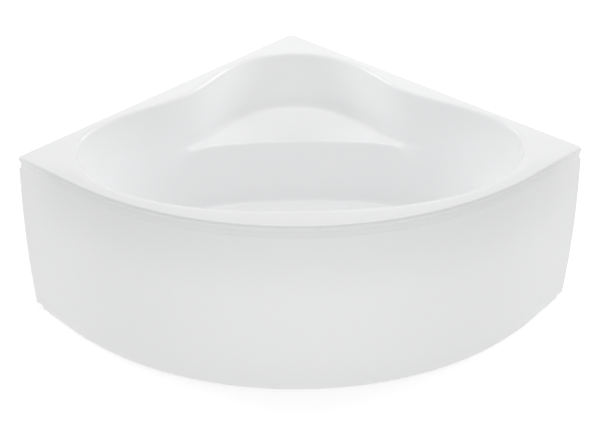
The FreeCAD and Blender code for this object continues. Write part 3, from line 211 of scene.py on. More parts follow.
class Shader:
    """The nodes of a material or of the world."""

    def __init__(self, data, output_kind):
        self.data = data
        data.use_nodes = True
        self.tree = data.node_tree
        self.tree.nodes.clear()
        self.output = self.tree.nodes.new(output_kind)

    def send(self, surface):
        """Join a closure to the output."""
        self.tree.links.new(surface.socket, self.output.inputs["Surface"])
        return self.data

    def node(self, kind, settings=None, values=None, result=0):
        made = self.tree.nodes.new(kind)
        for name, setting in (settings or {}).items():
            if name == "stops":
                fill_ramp(made.color_ramp, setting)
            else:
                setattr(made, name, setting)
        for key, value in (values or {}).items():
            if isinstance(value, Value):
                self.tree.links.new(value.socket, made.inputs[key])
            else:
                made.inputs[key].default_value = value
        return Value(self, made.outputs[result])


class Finish(Shader):
    """A procedural material and the textures that shape it."""

    def __init__(self, name):
        super().__init__(bpy.data.materials.new(name), "ShaderNodeOutputMaterial")

    def place(self):
        return self.node("ShaderNodeTexCoord", result="Object")

    def stretched(self, scale):
        return self.node("ShaderNodeMapping", None, {"Vector": self.place(), "Scale": scale})

    def noise(self, scale, detail, vector=None):
        return self.node("ShaderNodeTexNoise", None, {
            "Vector": vector or self.place(), "Scale": scale, "Detail": detail, "Roughness": 0.55})

    def blend(self, factor, first, second):
        """A colour mixed from two, by the numbers of the Mix node's colour sockets."""
        return self.node("ShaderNodeMix", {"data_type": "RGBA"}, {0: factor, 6: first, 7: second}, 2)

    def bump(self, height, distance, strength):
        return self.node("ShaderNodeBump", None, {
            "Height": height, "Distance": distance, "Strength": strength})

    def shade(self, values):
        return self.send(self.node("ShaderNodeBsdfPrincipled", None, values))


def fill_ramp(ramp, stops):
    while len(ramp.elements) < len(stops):
        ramp.elements.new(1.0)
    for element, (spot, colour) in zip(ramp.elements, stops):
        element.position = spot
        element.color = colour


def tone(red, green, blue):
    return (red, green, blue, 1.0)


def acrylic(name, light, dark, shaded_tone):
    """Glossy moulded sheet, faintly clouded and wavy, with painted shade that darkens it under the nose,
    on the lip, along the front deck and at the panel's head.
    """
    finish = Finish(name)
    cloud = finish.noise(2.2, 2.0)
    ripple = finish.noise(38.0, 1.0)
    # painted shade: the mesh attribute blends the base colour towards the shaded tone
    drawn = finish.node("ShaderNodeAttribute", {"attribute_name": PAINTED_SHADE_ATTRIBUTE}, result="Fac")
    return finish.shade({
        "Base Color": finish.blend(drawn, finish.blend(cloud, dark, light), shaded_tone),
        "Roughness": cloud * 0.04 + 0.2,
        "Normal": finish.bump(ripple, 0.00012, 0.25),
        "IOR": 1.49})


def pressed_board(name):
    """Pressed wood: short chips of several browns in every direction."""
    finish = Finish(name)
    chips = finish.node("ShaderNodeTexVoronoi", {"feature": "F1"}, {
        "Vector": finish.stretched((1.0, 1.6, 2.5)), "Scale": 190.0}, "Color")
    shade = finish.node("ShaderNodeSeparateColor", None, {"Color": chips})
    fleck = finish.noise(420.0, 2.0)
    colour = finish.node("ShaderNodeValToRGB", {"stops": [
        (0.0, tone(0.33, 0.21, 0.11)), (0.5, tone(0.5, 0.35, 0.19)), (1.0, tone(0.64, 0.48, 0.29))]},
        {0: shade * 0.75 + fleck * 0.25})
    return finish.shade({
        "Base Color": colour, "Roughness": fleck * 0.12 + 0.62,
        "Normal": finish.bump(fleck, 0.0004, 0.5)})


def sawn_wood(name):
    """Softwood block: growth bands along its length, sawn across."""
    finish = Finish(name)
    warp = finish.noise(14.0, 3.0)
    grain = finish.noise(30.0, 4.0, finish.stretched((1.0, 7.0, 7.0)))
    band = finish.node("ShaderNodeTexWave", {"bands_direction": "Y"}, {
        "Vector": finish.stretched((0.3, 1.0, 1.0)), "Scale": 42.0, "Distortion": 5.0,
        "Detail": 2.0, "Detail Scale": 1.2}, "Fac")
    colour = finish.node("ShaderNodeValToRGB", {"stops": [
        (0.0, tone(0.7, 0.52, 0.31)), (0.6, tone(0.62, 0.43, 0.24)), (1.0, tone(0.45, 0.28, 0.13))]},
        {0: band * 0.6 + grain * 0.3 + warp * 0.1})
    return finish.shade({
        "Base Color": colour, "Roughness": grain * 0.1 + 0.6,
        "Normal": finish.bump(grain, 0.0005, 0.4)})


def frame_paint(name):
    """Grey paint baked on steel tube, with a fine orange-peel skin."""
    finish = Finish(name)
    peel = finish.noise(420.0, 2.0)
    cloud = finish.noise(9.0, 3.0)
    return finish.shade({
        "Base Color": finish.blend(cloud, tone(0.26, 0.28, 0.29), tone(0.33, 0.35, 0.36)),
        "Roughness": cloud * 0.1 + 0.36,
        "Normal": finish.bump(peel, 0.0002, 0.4)})


def zinc(name):
    """Zinc-plated steel: bright with dull spangle patches."""
    finish = Finish(name)
    spangle = finish.node("ShaderNodeTexVoronoi", {"feature": "F1"}, {
        "Vector": finish.place(), "Scale": 160.0}, "Distance")
    cloud = finish.noise(60.0, 3.0)
    return finish.shade({
        "Base Color": finish.blend(cloud, tone(0.56, 0.57, 0.56), tone(0.72, 0.72, 0.69)),
        "Metallic": 1.0,
        "Roughness": spangle * 0.25 + 0.24,
        "Normal": finish.bump(cloud, 0.0001, 0.3)})


def chrome(name):
    """Polished chrome with faint water marks in its gloss."""
    finish = Finish(name)
    marks = finish.noise(85.0, 4.0)
    return finish.shade({
        "Base Color": finish.blend(marks, tone(0.78, 0.79, 0.81), tone(0.86, 0.86, 0.87)),
        "Metallic": 1.0,
        "Roughness": marks * 0.06 + 0.04})


def moulded(name, dark, light, rough, grain=700.0):
    """Injection-moulded plastic with a fine spark-eroded grain."""
    finish = Finish(name)
    pits = finish.noise(grain, 2.0)
    cloud = finish.noise(18.0, 2.0)
    return finish.shade({
        "Base Color": finish.blend(cloud, dark, light),
        "Roughness": cloud * 0.08 + rough,
        "Normal": finish.bump(pits, 0.00015, 0.5)})


finishes = {
    # the last tone is the colour of the painted shade on the acrylic
    "acrylic": acrylic("white_acrylic", tone(0.955, 0.957, 0.96), tone(0.943, 0.946, 0.951),
                       tone(0.832, 0.836, 0.842)),
    "board": pressed_board("pressed_board"),
    "block_wood": sawn_wood("sawn_softwood"),
    "frame_paint": frame_paint("grey_frame_paint"),
    "zinc_steel": zinc("zinc_plate"),
    "black_plastic": moulded("black_moulding", tone(0.016, 0.016, 0.017),
                             tone(0.03, 0.03, 0.031), 0.42),
    "rubber": moulded("black_rubber", tone(0.014, 0.014, 0.014),
                      tone(0.026, 0.025, 0.024), 0.66, 300.0),
    "chrome": chrome("polished_chrome"),
    "white_plastic": moulded("white_moulding", tone(0.7, 0.7, 0.68),
                             tone(0.78, 0.78, 0.76), 0.34),
    "grey_plastic": moulded("grey_pipe_plastic", tone(0.24, 0.25, 0.26),
                            tone(0.3, 0.31, 0.32), 0.36),
}


# Mesh helpers

class Skin:
    """Points and faces gathered into one mesh."""

    def __init__(self):
        self.points = []
        self.shades = []
        self.faces = []

    def ring(self, spots, shade=0.0):
        """Add a row of points with painted shade along the bow alone, and return their numbers."""
        first = len(self.points)
        self.points += [tuple(float(n) for n in spot) for spot in spots]
        self.shades += [shade * along_bow(spot[1]) for spot in spots]
        return list(range(first, len(self.points)))

    def bridge(self, upper, lower, closed=True):
        """Quads between two rows of the same length."""
        count = len(upper)
        for step in range(count if closed else count - 1):
            after = (step + 1) % count
            self.faces.append((upper[step], upper[after], lower[after], lower[step]))

    def fill(self, outer, inner=()):
        """Flat faces inside one row and outside another."""
        loops = [[self.points[n] for n in outer]]
        numbers = list(outer)
        if inner:
            loops.append([self.points[n] for n in inner])
            numbers += list(inner)
        for triangle in geometry.tessellate_polygon(loops):
            self.faces.append(tuple(numbers[n] for n in triangle))

    def finished(self, name):
        mesh = bpy.data.meshes.new(name)
        mesh.from_pydata([Vector(p) * MILLIMETRE for p in self.points], [], self.faces)
        # the painted shade is stored as a point attribute for the acrylic's colour
        if any(self.shades):
            attribute = mesh.attributes.new(PAINTED_SHADE_ATTRIBUTE, "FLOAT", "POINT")
            attribute.data.foreach_set("value", self.shades)
        close_mesh(mesh)
        shade_mesh(mesh)
        return mesh


def close_mesh(mesh):
    """Merge doubles and turn faces outwards."""
    work = bmesh.new()
    work.from_mesh(mesh)
    bmesh.ops.remove_doubles(work, verts=work.verts, dist=MERGE)
    bmesh.ops.recalc_face_normals(work, faces=work.faces)
    work.to_mesh(mesh)
    work.free()


def shade_mesh(mesh):
    """Shade smoothly between creases."""
    mesh.shade_smooth()
    mesh.set_sharp_from_angle(angle=CREASE)


def piece(name, mesh, slot_name, body, replaced):
    """A visible piece with its finish, riding on a body in place of a CAD node."""
    made = bpy.data.objects.new(name, mesh)
    bpy.context.scene.collection.objects.link(made)
    made.data.materials.clear()
    made.data.materials.append(finishes[slot_name])
    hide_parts(replaced)
    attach(made, body)


def cut_away(mesh, cutters):
    """The mesh with the cutters' meshes taken out of it."""
    base = bpy.data.objects.new("base", mesh)
    bpy.context.scene.collection.objects.link(base)
    tools = []
    for number, cutter in enumerate(cutters):
        tool = bpy.data.objects.new(f"cutter_{number}", cutter)
        bpy.context.scene.collection.objects.link(tool)
        modifier = base.modifiers.new(f"cut_{number}", "BOOLEAN")
        modifier.operation = "DIFFERENCE"
        modifier.solver = "EXACT"
        modifier.object = tool
        tools.append(tool)
    graph = bpy.context.evaluated_depsgraph_get()
    result = bpy.data.meshes.new_from_object(base.evaluated_get(graph))
    for tool in tools:
        bpy.data.objects.remove(tool)
    bpy.data.objects.remove(base)
    shade_mesh(result)
    return result


def hole_cutter(radius, place):
    work = bmesh.new()
    bmesh.ops.create_cone(work, cap_ends=True, segments=HOLE_SIDES, radius1=radius * MILLIMETRE,
                          radius2=radius * MILLIMETRE, depth=CUTTER_LENGTH * MILLIMETRE)
    mesh = bpy.data.meshes.new("hole")
    work.to_mesh(mesh)
    work.free()
    mesh.transform(place)
    return mesh


# Bowl outlines in the plan, about the basin's centre

def oval(angle, half_length, back_reach, front_reach, back_power, front_power):
    across = abs(math.sin(angle)) / half_length
    reach, power = (back_reach, back_power) if math.cos(angle) >= 0 else (front_reach, front_power)
    return (across ** power + (abs(math.cos(angle)) / reach) ** power) ** (-1 / power)


def bell(angle):
    return math.exp(-(abs(angle) / NICHE_HALF_ANGLE) ** NICHE_POWER)


def smooth_step(share):
    share = min(max(share, 0.0), 1.0)
    return share * share * (3 - 2 * share)


def along_bow(y):
    """From 0 at the walls and the corners to 1 along the bow in front."""
    return smooth_step((CHORD_Y - y) / BOW_SHADE_START)


def bowl_outlines(angle):
    """Radii of the rim, the seat's front and the floor."""
    rim = oval(angle, RIM_HALF_LENGTH, RIM_BACK_REACH, RIM_FRONT_REACH,
               RIM_BACK_POWER, RIM_FRONT_POWER)
    seat = oval(angle, SEAT_HALF_LENGTH, SEAT_REACH, SEAT_REACH, SEAT_POWER, SEAT_POWER)
    floor = oval(angle, FLOOR_HALF_LENGTH, FLOOR_BACK_REACH, FLOOR_FRONT_REACH,
                 FLOOR_POWER, FLOOR_POWER)
    return rim + NICHE_REACH * bell(angle), seat, floor


def wall_profile(rim, floor):
    """Radius and drop of each control point down a plain wall."""
    rows = [(rim + RIM_ROLL, 0), (rim, 0), (rim, RIM_ROLL)]
    for share in WALL_DEPTH_SHARES:
        swell = (1 - share ** WALL_POWER) ** (1 / WALL_POWER)
        rows.append((floor + (rim - floor) * swell, BOWL_DEPTH * share))
    return rows + [(floor, BOWL_DEPTH), (floor - FLOOR_ROUND, BOWL_DEPTH),
                   (floor - 2 * FLOOR_ROUND, BOWL_DEPTH)]


def seat_profile(rim, front, floor, width):
    """Radius and drop of each control point down the niche, over the seat and down its riser."""
    back = front + width
    riser = BOWL_DEPTH - SEAT_DROP
    back_flat = min(SEAT_BACK_ROUND, width * SEAT_FLAT_SHARE)
    front_flat = min(SEAT_EDGE_ROUND, width * SEAT_FLAT_SHARE)
    drop = SEAT_DROP - SEAT_BACK_ROUND
    upper, lower = NICHE_WALL_SHARES
    return [
        (rim + RIM_ROLL, 0),
        (rim, 0),
        (rim - (rim - back) * RIM_ROLL / SEAT_DROP, RIM_ROLL),
        (rim + (back - rim) * upper, drop * upper),
        (rim + (back - rim) * lower, drop * lower),
        (back, drop),
        (back, SEAT_DROP),
        (back - back_flat, SEAT_DROP),
        ((back - back_flat + front + front_flat) / 2, SEAT_DROP),
        (front + front_flat, SEAT_DROP),
        (front, SEAT_DROP),
        (front - (front - floor) * SEAT_EDGE_ROUND / riser, SEAT_DROP + SEAT_EDGE_ROUND),
        (front - (front - floor) * RISER_SHARE, SEAT_DROP + riser * RISER_SHARE),
        (floor, BOWL_DEPTH - FLOOR_ROUND),
        (floor, BOWL_DEPTH),
        (floor - FLOOR_ROUND, BOWL_DEPTH),
        (floor - 2 * FLOOR_ROUND, BOWL_DEPTH),
    ]


def bowl_net():
    """Control points of the bowl: columns round the basin, rows from the rim down."""
    net = []
    for step in range(NET_COLUMNS):
        angle = 2 * math.pi * step / NET_COLUMNS
        angle = angle if angle <= math.pi else angle - 2 * math.pi
        rim, seat, floor = bowl_outlines(angle)
        width = SEAT_NICHE_REACH * bell(angle)
        weight = smooth_step(width / (SEAT_NICHE_REACH * SEAT_BLEND_SHARE))
        plain = np.array(wall_profile(rim, floor), float)
        seated = np.array(seat_profile(rim, seat, floor, width), float)
        rows = plain + (seated - plain) * weight
        net.append([(radius * math.sin(angle), BASIN_Y + radius * math.cos(angle), RIM_HEIGHT - drop)
                    for radius, drop in rows])
    return np.array(net)


def down_weights(rows, spot):
    """Weights of the rows' control points at a place down the clamped cubic."""
    spans = rows - DEGREE
    knots = np.r_[[0.0] * DEGREE, np.arange(spans + 1), [float(spans)] * DEGREE]
    spot = min(spot, spans - END_ALLOWANCE)
    basis = ((knots[:-1] <= spot) & (spot < knots[1:])).astype(float)
    for degree in range(1, DEGREE + 1):
        fresh = np.zeros(len(basis) - 1)
        for n in range(len(fresh)):
            left = knots[n + degree] - knots[n]
            right = knots[n + degree + 1] - knots[n + 1]
            if left > 0:
                fresh[n] += (spot - knots[n]) / left * basis[n]
            if right > 0:
                fresh[n] += (knots[n + degree + 1] - spot) / right * basis[n + 1]
        basis = fresh
    return basis


def around_weights(share):
    """Weights of four neighbouring columns between two knots of the closed cubic."""
    back = 1 - share
    return np.array([
        back ** 3, 3 * share ** 3 - 6 * share ** 2 + 4,
        3 * back ** 3 - 6 * back ** 2 + 4, share ** 3]) / 6


def bowl_surface():
    """Points of the smooth bowl, rows from the rim down and columns round it."""
    net = bowl_net()
    rows = net.shape[1]
    spans = rows - DEGREE
    spots = np.linspace(0, spans, spans * ROW_STEPS + 1)
    down = np.array([down_weights(rows, spot) for spot in spots])
    columns = []
    for step in range(NET_COLUMNS * COLUMN_STEPS):
        index, part = divmod(step, COLUMN_STEPS)
        weights = around_weights(part / COLUMN_STEPS)
        near = net[[(index + shift) % NET_COLUMNS for shift in (-1, 0, 1, 2)]]
        columns.append(down @ np.tensordot(weights, near, 1))
    return np.swapaxes(np.array(columns), 0, 1)


def outward(surface):
    """Unit normals of the bowl's surface, pointing out of the basin."""
    around = np.roll(surface, -1, 1) - np.roll(surface, 1, 1)
    down = np.gradient(surface, axis=0)
    normals = np.cross(around, down)
    normals /= np.linalg.norm(normals, axis=2)[..., None]
    normals[0] = normals[-1] = (0, 0, -1)
    return normals


# Plan outline of deck and panel

def arc(centre, start, end, steps):
    """Points of an arc of less than half a turn."""
    first = np.array(start) - centre
    last = np.array(end) - centre
    turn = math.atan2(first[0] * last[1] - first[1] * last[0], first @ last)
    spots = []
    for step in range(steps + 1):
        angle = turn * step / steps
        cosine, sine = math.cos(angle), math.sin(angle)
        spots.append(centre + np.array([first[0] * cosine - first[1] * sine,
                                        first[0] * sine + first[1] * cosine]))
    return spots


def line(start, end, steps):
    """Points between two places, without the places themselves."""
    return [start + (end - start) * step / steps for step in range(1, steps)]


def right_half(inset, growth, wall_inset, rounded):
    """Plan points from the room's corner over the right side to the middle of the front."""
    corner = np.array([0, CORNER_Y - wall_inset * math.sqrt(2)])
    side = np.array([0, CORNER_Y]) + LEG_WAY * (LEG - inset) + RETURN_WAY * wall_inset
    straight = SIDE_RETURN + growth
    tangent = np.array([0, CORNER_Y]) + LEG_WAY * (LEG - inset) + RETURN_WAY * straight
    centre = np.array([0, CORNER_Y - straight * math.sqrt(2)])
    front = centre - np.array([0, LEG - inset - straight])
    bow = arc(centre, tangent, front, FRONT_STEPS // 2)
    if not rounded:
        return [side] + line(side, tangent, RETURN_STEPS) + bow
    wall_round = WALL_CORNER - inset
    side_round = max(SIDE_CORNER - inset, LEAST_ROUND)
    start = corner + LEG_WAY * wall_round
    corner_arc = arc(corner - np.array([0, wall_round * math.sqrt(2)]),
                     corner - np.array([0, wall_round * (math.sqrt(2) - 1)]),
                     start, CORNER_STEPS // 2)
    before = side - LEG_WAY * side_round
    after = side + RETURN_WAY * side_round
    side_arc = arc(before + RETURN_WAY * side_round, before, after, CORNER_STEPS)
    return (corner_arc + line(start, before, RETURN_STEPS * 2) + side_arc
            + line(after, tangent, RETURN_STEPS) + bow)


def mirrored(half):
    """The same points on the left side."""
    return [np.array([-spot[0], spot[1]]) for spot in half]


def deck_outline(inset, level):
    """Closed row of points round the deck, drawn in by an inset."""
    half = right_half(inset, 0, inset, True)
    whole = half + mirrored(half[1:-1])[::-1]
    return [(spot[0], spot[1], level) for spot in whole]


def drawn_in(near, far):
    """Row on the deck that lies near its edge at the walls and far from it along the bow."""
    row = []
    for first, last in zip(deck_outline(near, RIM_HEIGHT), deck_outline(far, RIM_HEIGHT)):
        share = along_bow(first[1])
        row.append([a + (b - a) * share for a, b in zip(first, last)])
    return row


def panel_path(inset, growth, level):
    """Open row of points along the panel from wall to wall."""
    half = right_half(inset, growth, 0, False)
    return [(spot[0], spot[1], level) for spot in mirrored(half) + half[-2::-1]]


# The moulded shell

def nose_and_lip():
    """Inset, level and painted shade of each row from the deck's edge round the nose and down the lip."""
    rows = []
    centre = RIM_HEIGHT - NOSE_RADIUS
    for step, shade in enumerate(NOSE_TOP_SHADES):
        angle = math.pi / 2 * step / (len(NOSE_TOP_SHADES) - 1)
        rows.append((NOSE_RADIUS * (1 - math.sin(angle)) + FACET_ALLOWANCE,
                     centre + NOSE_RADIUS * math.cos(angle), shade))
    lower = RIM_HEIGHT - NOSE_HEIGHT + NOSE_RADIUS
    last = math.acos(1 - NOSE_OVERHANG / NOSE_RADIUS)
    for step, shade in enumerate(NOSE_UNDER_SHADES):
        angle = last * step / (len(NOSE_UNDER_SHADES) - 1)
        rows.append((NOSE_RADIUS * (1 - math.cos(angle)) + FACET_ALLOWANCE,
                     lower - NOSE_RADIUS * math.sin(angle), shade))
    under = rows[-1][1]
    rows.append((NOSE_OVERHANG, under - LIP_TOP, LIP_TOP_SHADE))
    return rows + [(NOSE_OVERHANG + inset, LIP_FOOT + rise, LIP_FOOT_SHADE)
                   for inset, rise in LIP_FOOT_ROWS]


def wall_point(surface, drop):
    """Place square to the bowl's front wall at a drop below the rim."""
    column = surface[:, surface.shape[1] // 2]
    level = RIM_HEIGHT - drop
    row = int(np.argmax(column[:, 2] < level))
    share = (column[row - 1][2] - level) / (column[row - 1][2] - column[row][2])
    spot = column[row - 1] + (column[row] - column[row - 1]) * share
    along = Vector(column[row] - column[row - 1]).normalized()
    normal = along.cross(Vector((1, 0, 0)))
    normal = normal if normal.y > 0 else -normal
    turn = normal.to_track_quat("Z", "Y").to_matrix().to_4x4()
    return Matrix.Translation(Vector(spot) * MILLIMETRE) @ turn


def make_shell():
    """Deck, nose, lip, bowl, seat and floor, one even wall thick, with its two holes."""
    skin = Skin()
    surface = bowl_surface()
    outer_surface = surface + outward(surface) * SHELL_WALL

    inner_rows = [skin.ring(row) for row in surface]
    spokes = (surface[0] - np.array([0, BASIN_Y, 0])) * np.array([1, 1, 0])
    collar = surface[0] + spokes / np.linalg.norm(spokes, axis=1)[:, None] * COLLAR
    inner_rows.insert(0, skin.ring(collar))
    outer_rows = [skin.ring(row) for row in outer_surface]
    outer_rows.insert(0, skin.ring(collar - np.array([0, 0, SHELL_WALL])))
    for rows in (inner_rows, outer_rows):
        for upper, lower in zip(rows, rows[1:]):
            skin.bridge(upper, lower)
        skin.fill(rows[-1])

    # painted shade: the front deck darkens towards the nose, then under the nose and down the lip
    edge = [(NOSE_RADIUS + COLLAR, RIM_HEIGHT, DECK_SHADE)] + nose_and_lip()
    inside = NOSE_OVERHANG + SHELL_WALL
    edge += [(inside, LIP_FOOT, 0), (inside, RIM_HEIGHT - SHELL_WALL - 1, 0),
             (inside + 1, RIM_HEIGHT - SHELL_WALL, 0)]
    edge_rows = [skin.ring(deck_outline(inset, level), shade) for inset, level, shade in edge]
    deck_row = drawn_in(NOSE_RADIUS + 2 * COLLAR, DECK_SHADE_REACH)
    edge_rows.insert(0, skin.ring(deck_row, DECK_RING_SHADE))
    for upper, lower in zip(edge_rows, edge_rows[1:]):
        skin.bridge(upper, lower)
    skin.fill(edge_rows[0], inner_rows[0])
    skin.fill(edge_rows[-1], outer_rows[0])

    waste_place = Matrix.Translation(Vector((
        0, WASTE_Y, RIM_HEIGHT - BOWL_DEPTH)) * MILLIMETRE)
    cutters = [hole_cutter(WASTE_HOLE, waste_place),
               hole_cutter(OVERFLOW_HOLE, wall_point(surface, OVERFLOW_DROP))]
    mesh = cut_away(skin.finished("shell"), cutters)
    piece("bath_shell", mesh, "acrylic", "bath", "tub_shell")


# The front panel

def panel_share(level):
    """How far the panel has drawn in at a level, from 0 at its head to 1 at its foot."""
    return ((PANEL_TOP - level) / (PANEL_TOP - PANEL_FLOOR_GAP)) ** PANEL_CURVE_POWER


def panel_draw(level):
    """Inset of the panel and growth of its returns at a level."""
    share = panel_share(level)
    return PANEL_SETBACK + PANEL_END_DRAW * share, PANEL_RETURN_GROWTH * share


def panel_shade(level):
    """Painted shade that darkens the panel's colour towards its head, under the lip."""
    return PANEL_HEAD_SHADE * smooth_step((level - PANEL_SHADE_FROM) / (LIP_FOOT - PANEL_SHADE_FROM))


def panel_row(inset, growth, level, relief):
    """One row of the panel, which draws in less along its bow than at its ends."""
    fuller_inset = inset - relief * panel_share(level)
    spots = []
    for drawn, fuller in zip(panel_path(inset, growth, level),
                             panel_path(fuller_inset, growth, level)):
        weight = smooth_step((PANEL_BOW_HALF - abs(drawn[0])) / PANEL_BOW_FADE)
        spots.append(tuple(a + (b - a) * weight for a, b in zip(drawn, fuller)))
    return spots


def panel_section():
    """Closed section of the panel: inset, growth of its returns, level and relief of each row.

    The foot flange's inner edge stays under the straps, so it has no relief.
    """
    roll_top = PANEL_FLOOR_GAP + PANEL_ROLL_HEIGHT
    outer = []
    for step in range(PANEL_STEPS + 1):
        level = PANEL_TOP + (roll_top - PANEL_TOP) * step / PANEL_STEPS
        outer.append((*panel_draw(level), level, PANEL_BOW_RELIEF))
    for turn in ROLL_TURNS:
        angle = math.radians(turn)
        level = roll_top - PANEL_ROLL_HEIGHT * math.sin(angle)
        inset, growth = panel_draw(level)
        rolled = 1 - math.cos(angle)
        outer.append((inset + PANEL_ROLL_INSET * rolled, growth, level,
                      PANEL_BOW_RELIEF + PANEL_ROLL_RELIEF * rolled))
    flange_top = PANEL_FLOOR_GAP + PANEL_WALL
    under_head = PANEL_TOP - PANEL_WALL
    inner = [(inset + PANEL_WALL, growth, level, relief) for inset, growth, level, relief in outer
             if flange_top < level < under_head]
    deep = PANEL_WALL + PANEL_FLANGE
    head, head_growth = outer[0][:2]
    foot, foot_growth = panel_draw(PANEL_FLOOR_GAP)
    foot += PANEL_ROLL_INSET
    foot_relief = PANEL_BOW_RELIEF + PANEL_ROLL_RELIEF
    return outer + [
        (foot, foot_growth, PANEL_FLOOR_GAP, foot_relief),
        (foot + deep, foot_growth, PANEL_FLOOR_GAP, 0),
        (foot + deep, foot_growth, flange_top, 0),
        (foot + PANEL_WALL, foot_growth, flange_top, foot_relief),
    ] + inner[::-1] + [
        (head + PANEL_WALL, head_growth, under_head, 0),
        (head + deep, head_growth, under_head, 0),
        (head + deep, head_growth, PANEL_TOP, 0)]


def notch_cutters():
    """Blocks that take the lower corners off the panel's ends at the walls."""
    length = (panel_draw(PANEL_FLOOR_GAP)[0] + PANEL_ROLL_INSET + PANEL_FLANGE
              + PANEL_NOTCH + NOTCH_OVERREACH)
    tall = PANEL_NOTCH + NOTCH_OVERREACH
    side = np.array([0, CORNER_Y]) + LEG_WAY * LEG
    block = Matrix.Translation(Vector((
        NOTCH_OVERREACH - length / 2, -PANEL_NOTCH + tall / 2, -NOTCH_OVERREACH + tall / 2)) * MILLIMETRE)
    block = block @ Matrix.Diagonal((length, tall, tall, 1))
    place = Matrix.Translation(Vector((side[0], side[1], PANEL_FLOOR_GAP)) * MILLIMETRE)
    place = place @ Matrix.Rotation(-math.pi / 4, 4, "Z")
    cutters = []
    for sign in (-1, 1):
        work = bmesh.new()
        bmesh.ops.create_cube(work, size=MILLIMETRE)
        mesh = bpy.data.meshes.new("notch")
        work.to_mesh(mesh)
        work.free()
        mesh.transform(block)
        mesh.transform(place)
        if sign < 0:
            mesh.transform(Matrix.Scale(-1, 4, (1, 0, 0)))
            mesh.flip_normals()
        cutters.append(mesh)
    return cutters


def make_panel():
    """Bowed panel with its returned head and foot, notched at the walls."""
    skin = Skin()
    rows = [skin.ring(panel_row(*spot), panel_shade(spot[2])) for spot in panel_section()]
    for upper, lower in zip(rows, rows[1:] + rows[:1]):
        skin.bridge(upper, lower, closed=False)
    for end in (0, -1):
        skin.fill([row[end] for row in rows])
    mesh = cut_away(skin.finished("panel"), notch_cutters())
    piece("panel_front", mesh, "acrylic", "bath", "front_panel")


make_shell()
make_panel()

for node_name, node in frame["nodes"].items():
    node.data.materials.clear()
    node.data.materials.append(finishes[slot_of[node_name]])


# Threaded studs of the levelling feet

def thread_tree():
    """Round core with a ridge wound round it, standing on the origin."""
    tree = bpy.data.node_groups.new("stud_thread", "GeometryNodeTree")
    for name in ("Height", "Core Radius", "Crest Radius", "Pitch"):
        tree.interface.new_socket(name, in_out="INPUT", socket_type="NodeSocketFloat")
    tree.interface.new_socket("Material", in_out="INPUT", socket_type="NodeSocketMaterial")
    tree.interface.new_socket("Geometry", in_out="OUTPUT", socket_type="NodeSocketGeometry")

    def node(kind, values=None, settings=None):
        made = tree.nodes.new(kind)
        for name, setting in (settings or {}).items():
            setattr(made, name, setting)
        for key, value in (values or {}).items():
            if isinstance(value, bpy.types.NodeSocket):
                tree.links.new(value, made.inputs[key])
            else:
                made.inputs[key].default_value = value
        return made

    def maths(operation, first, second):
        return node("ShaderNodeMath", {0: first, 1: second}, {"operation": operation}).outputs[0]

    given = node("NodeGroupInput").outputs
    ridge = maths("DIVIDE", given["Pitch"], math.sqrt(3))
    middle = maths("SUBTRACT", given["Crest Radius"], ridge)
    turns = maths("SUBTRACT", maths("DIVIDE", given["Height"], given["Pitch"]), THREAD_SHORT_TURNS)
    length = maths("MULTIPLY", turns, given["Pitch"])
    spiral = node("GeometryNodeCurveSpiral", {
        "Resolution": THREAD_STEPS, "Rotations": turns,
        "Start Radius": middle, "End Radius": middle, "Height": length})
    upright = node("GeometryNodeSetCurveNormal", {"Curve": spiral.outputs[0]}, {"mode": "Z_UP"})
    section = node("GeometryNodeCurvePrimitiveCircle", {"Resolution": 3, "Radius": ridge})
    turned = node("GeometryNodeTransform", {
        "Geometry": section.outputs[0], "Rotation": (0, 0, THREAD_TURN)})
    wound = node("GeometryNodeCurveToMesh", {
        "Curve": upright.outputs[0], "Profile Curve": turned.outputs[0], "Fill Caps": True})
    start = node("ShaderNodeCombineXYZ", {"Z": given["Pitch"]})
    raised = node("GeometryNodeTransform", {
        "Geometry": wound.outputs[0], "Translation": start.outputs[0]})
    core = node("GeometryNodeMeshCylinder", {
        "Vertices": THREAD_CORE_SIDES, "Radius": given["Core Radius"], "Depth": given["Height"]})
    lift = node("ShaderNodeCombineXYZ", {"Z": maths("DIVIDE", given["Height"], 2)})
    stood = node("GeometryNodeTransform", {
        "Geometry": core.outputs[0], "Translation": lift.outputs[0]})
    joined = node("GeometryNodeJoinGeometry")
    for part in (raised, stood):
        tree.links.new(part.outputs[0], joined.inputs[0])
    plain = node("GeometryNodeRealizeInstances", {0: joined.outputs[0]})
    dressed = node("GeometryNodeSetMaterial", {
        "Geometry": plain.outputs[0], "Material": given["Material"]})
    node("NodeGroupOutput", {0: dressed.outputs[0]})
    return tree


def make_studs():
    """Threaded studs of the five levelling feet."""
    tree = thread_tree()
    sockets = {item.name: item.identifier
               for item in tree.interface.items_tree if item.in_out == "INPUT"}
    for name in FEET:
        low, high = (Vector(corner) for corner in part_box(f"foot_stud_{name}"))
        holder = bpy.data.objects.new("holder", bpy.data.meshes.new("holder"))
        bpy.context.scene.collection.objects.link(holder)
        modifier = holder.modifiers.new("thread", "NODES")
        modifier.node_group = tree
        given = {"Height": high.z - low.z, "Core Radius": THREAD_CORE * MILLIMETRE,
                 "Crest Radius": (high.x - low.x) / 2, "Pitch": THREAD_PITCH * MILLIMETRE,
                 "Material": finishes["zinc_steel"]}
        for label, value in given.items():
            modifier[sockets[label]] = value
        graph = bpy.context.evaluated_depsgraph_get()
        mesh = bpy.data.meshes.new_from_object(holder.evaluated_get(graph))
        bpy.data.objects.remove(holder)
        mesh.transform(Matrix.Translation(((low.x + high.x) / 2, (low.y + high.y) / 2, low.z)))
        shade_mesh(mesh)
        piece(f"threaded_stud_{name}", mesh, "zinc_steel", f"foot_{name}", f"foot_stud_{name}")


make_studs()

# Room: a pale floor that keeps the shadow, an even sky and six broad soft lamps

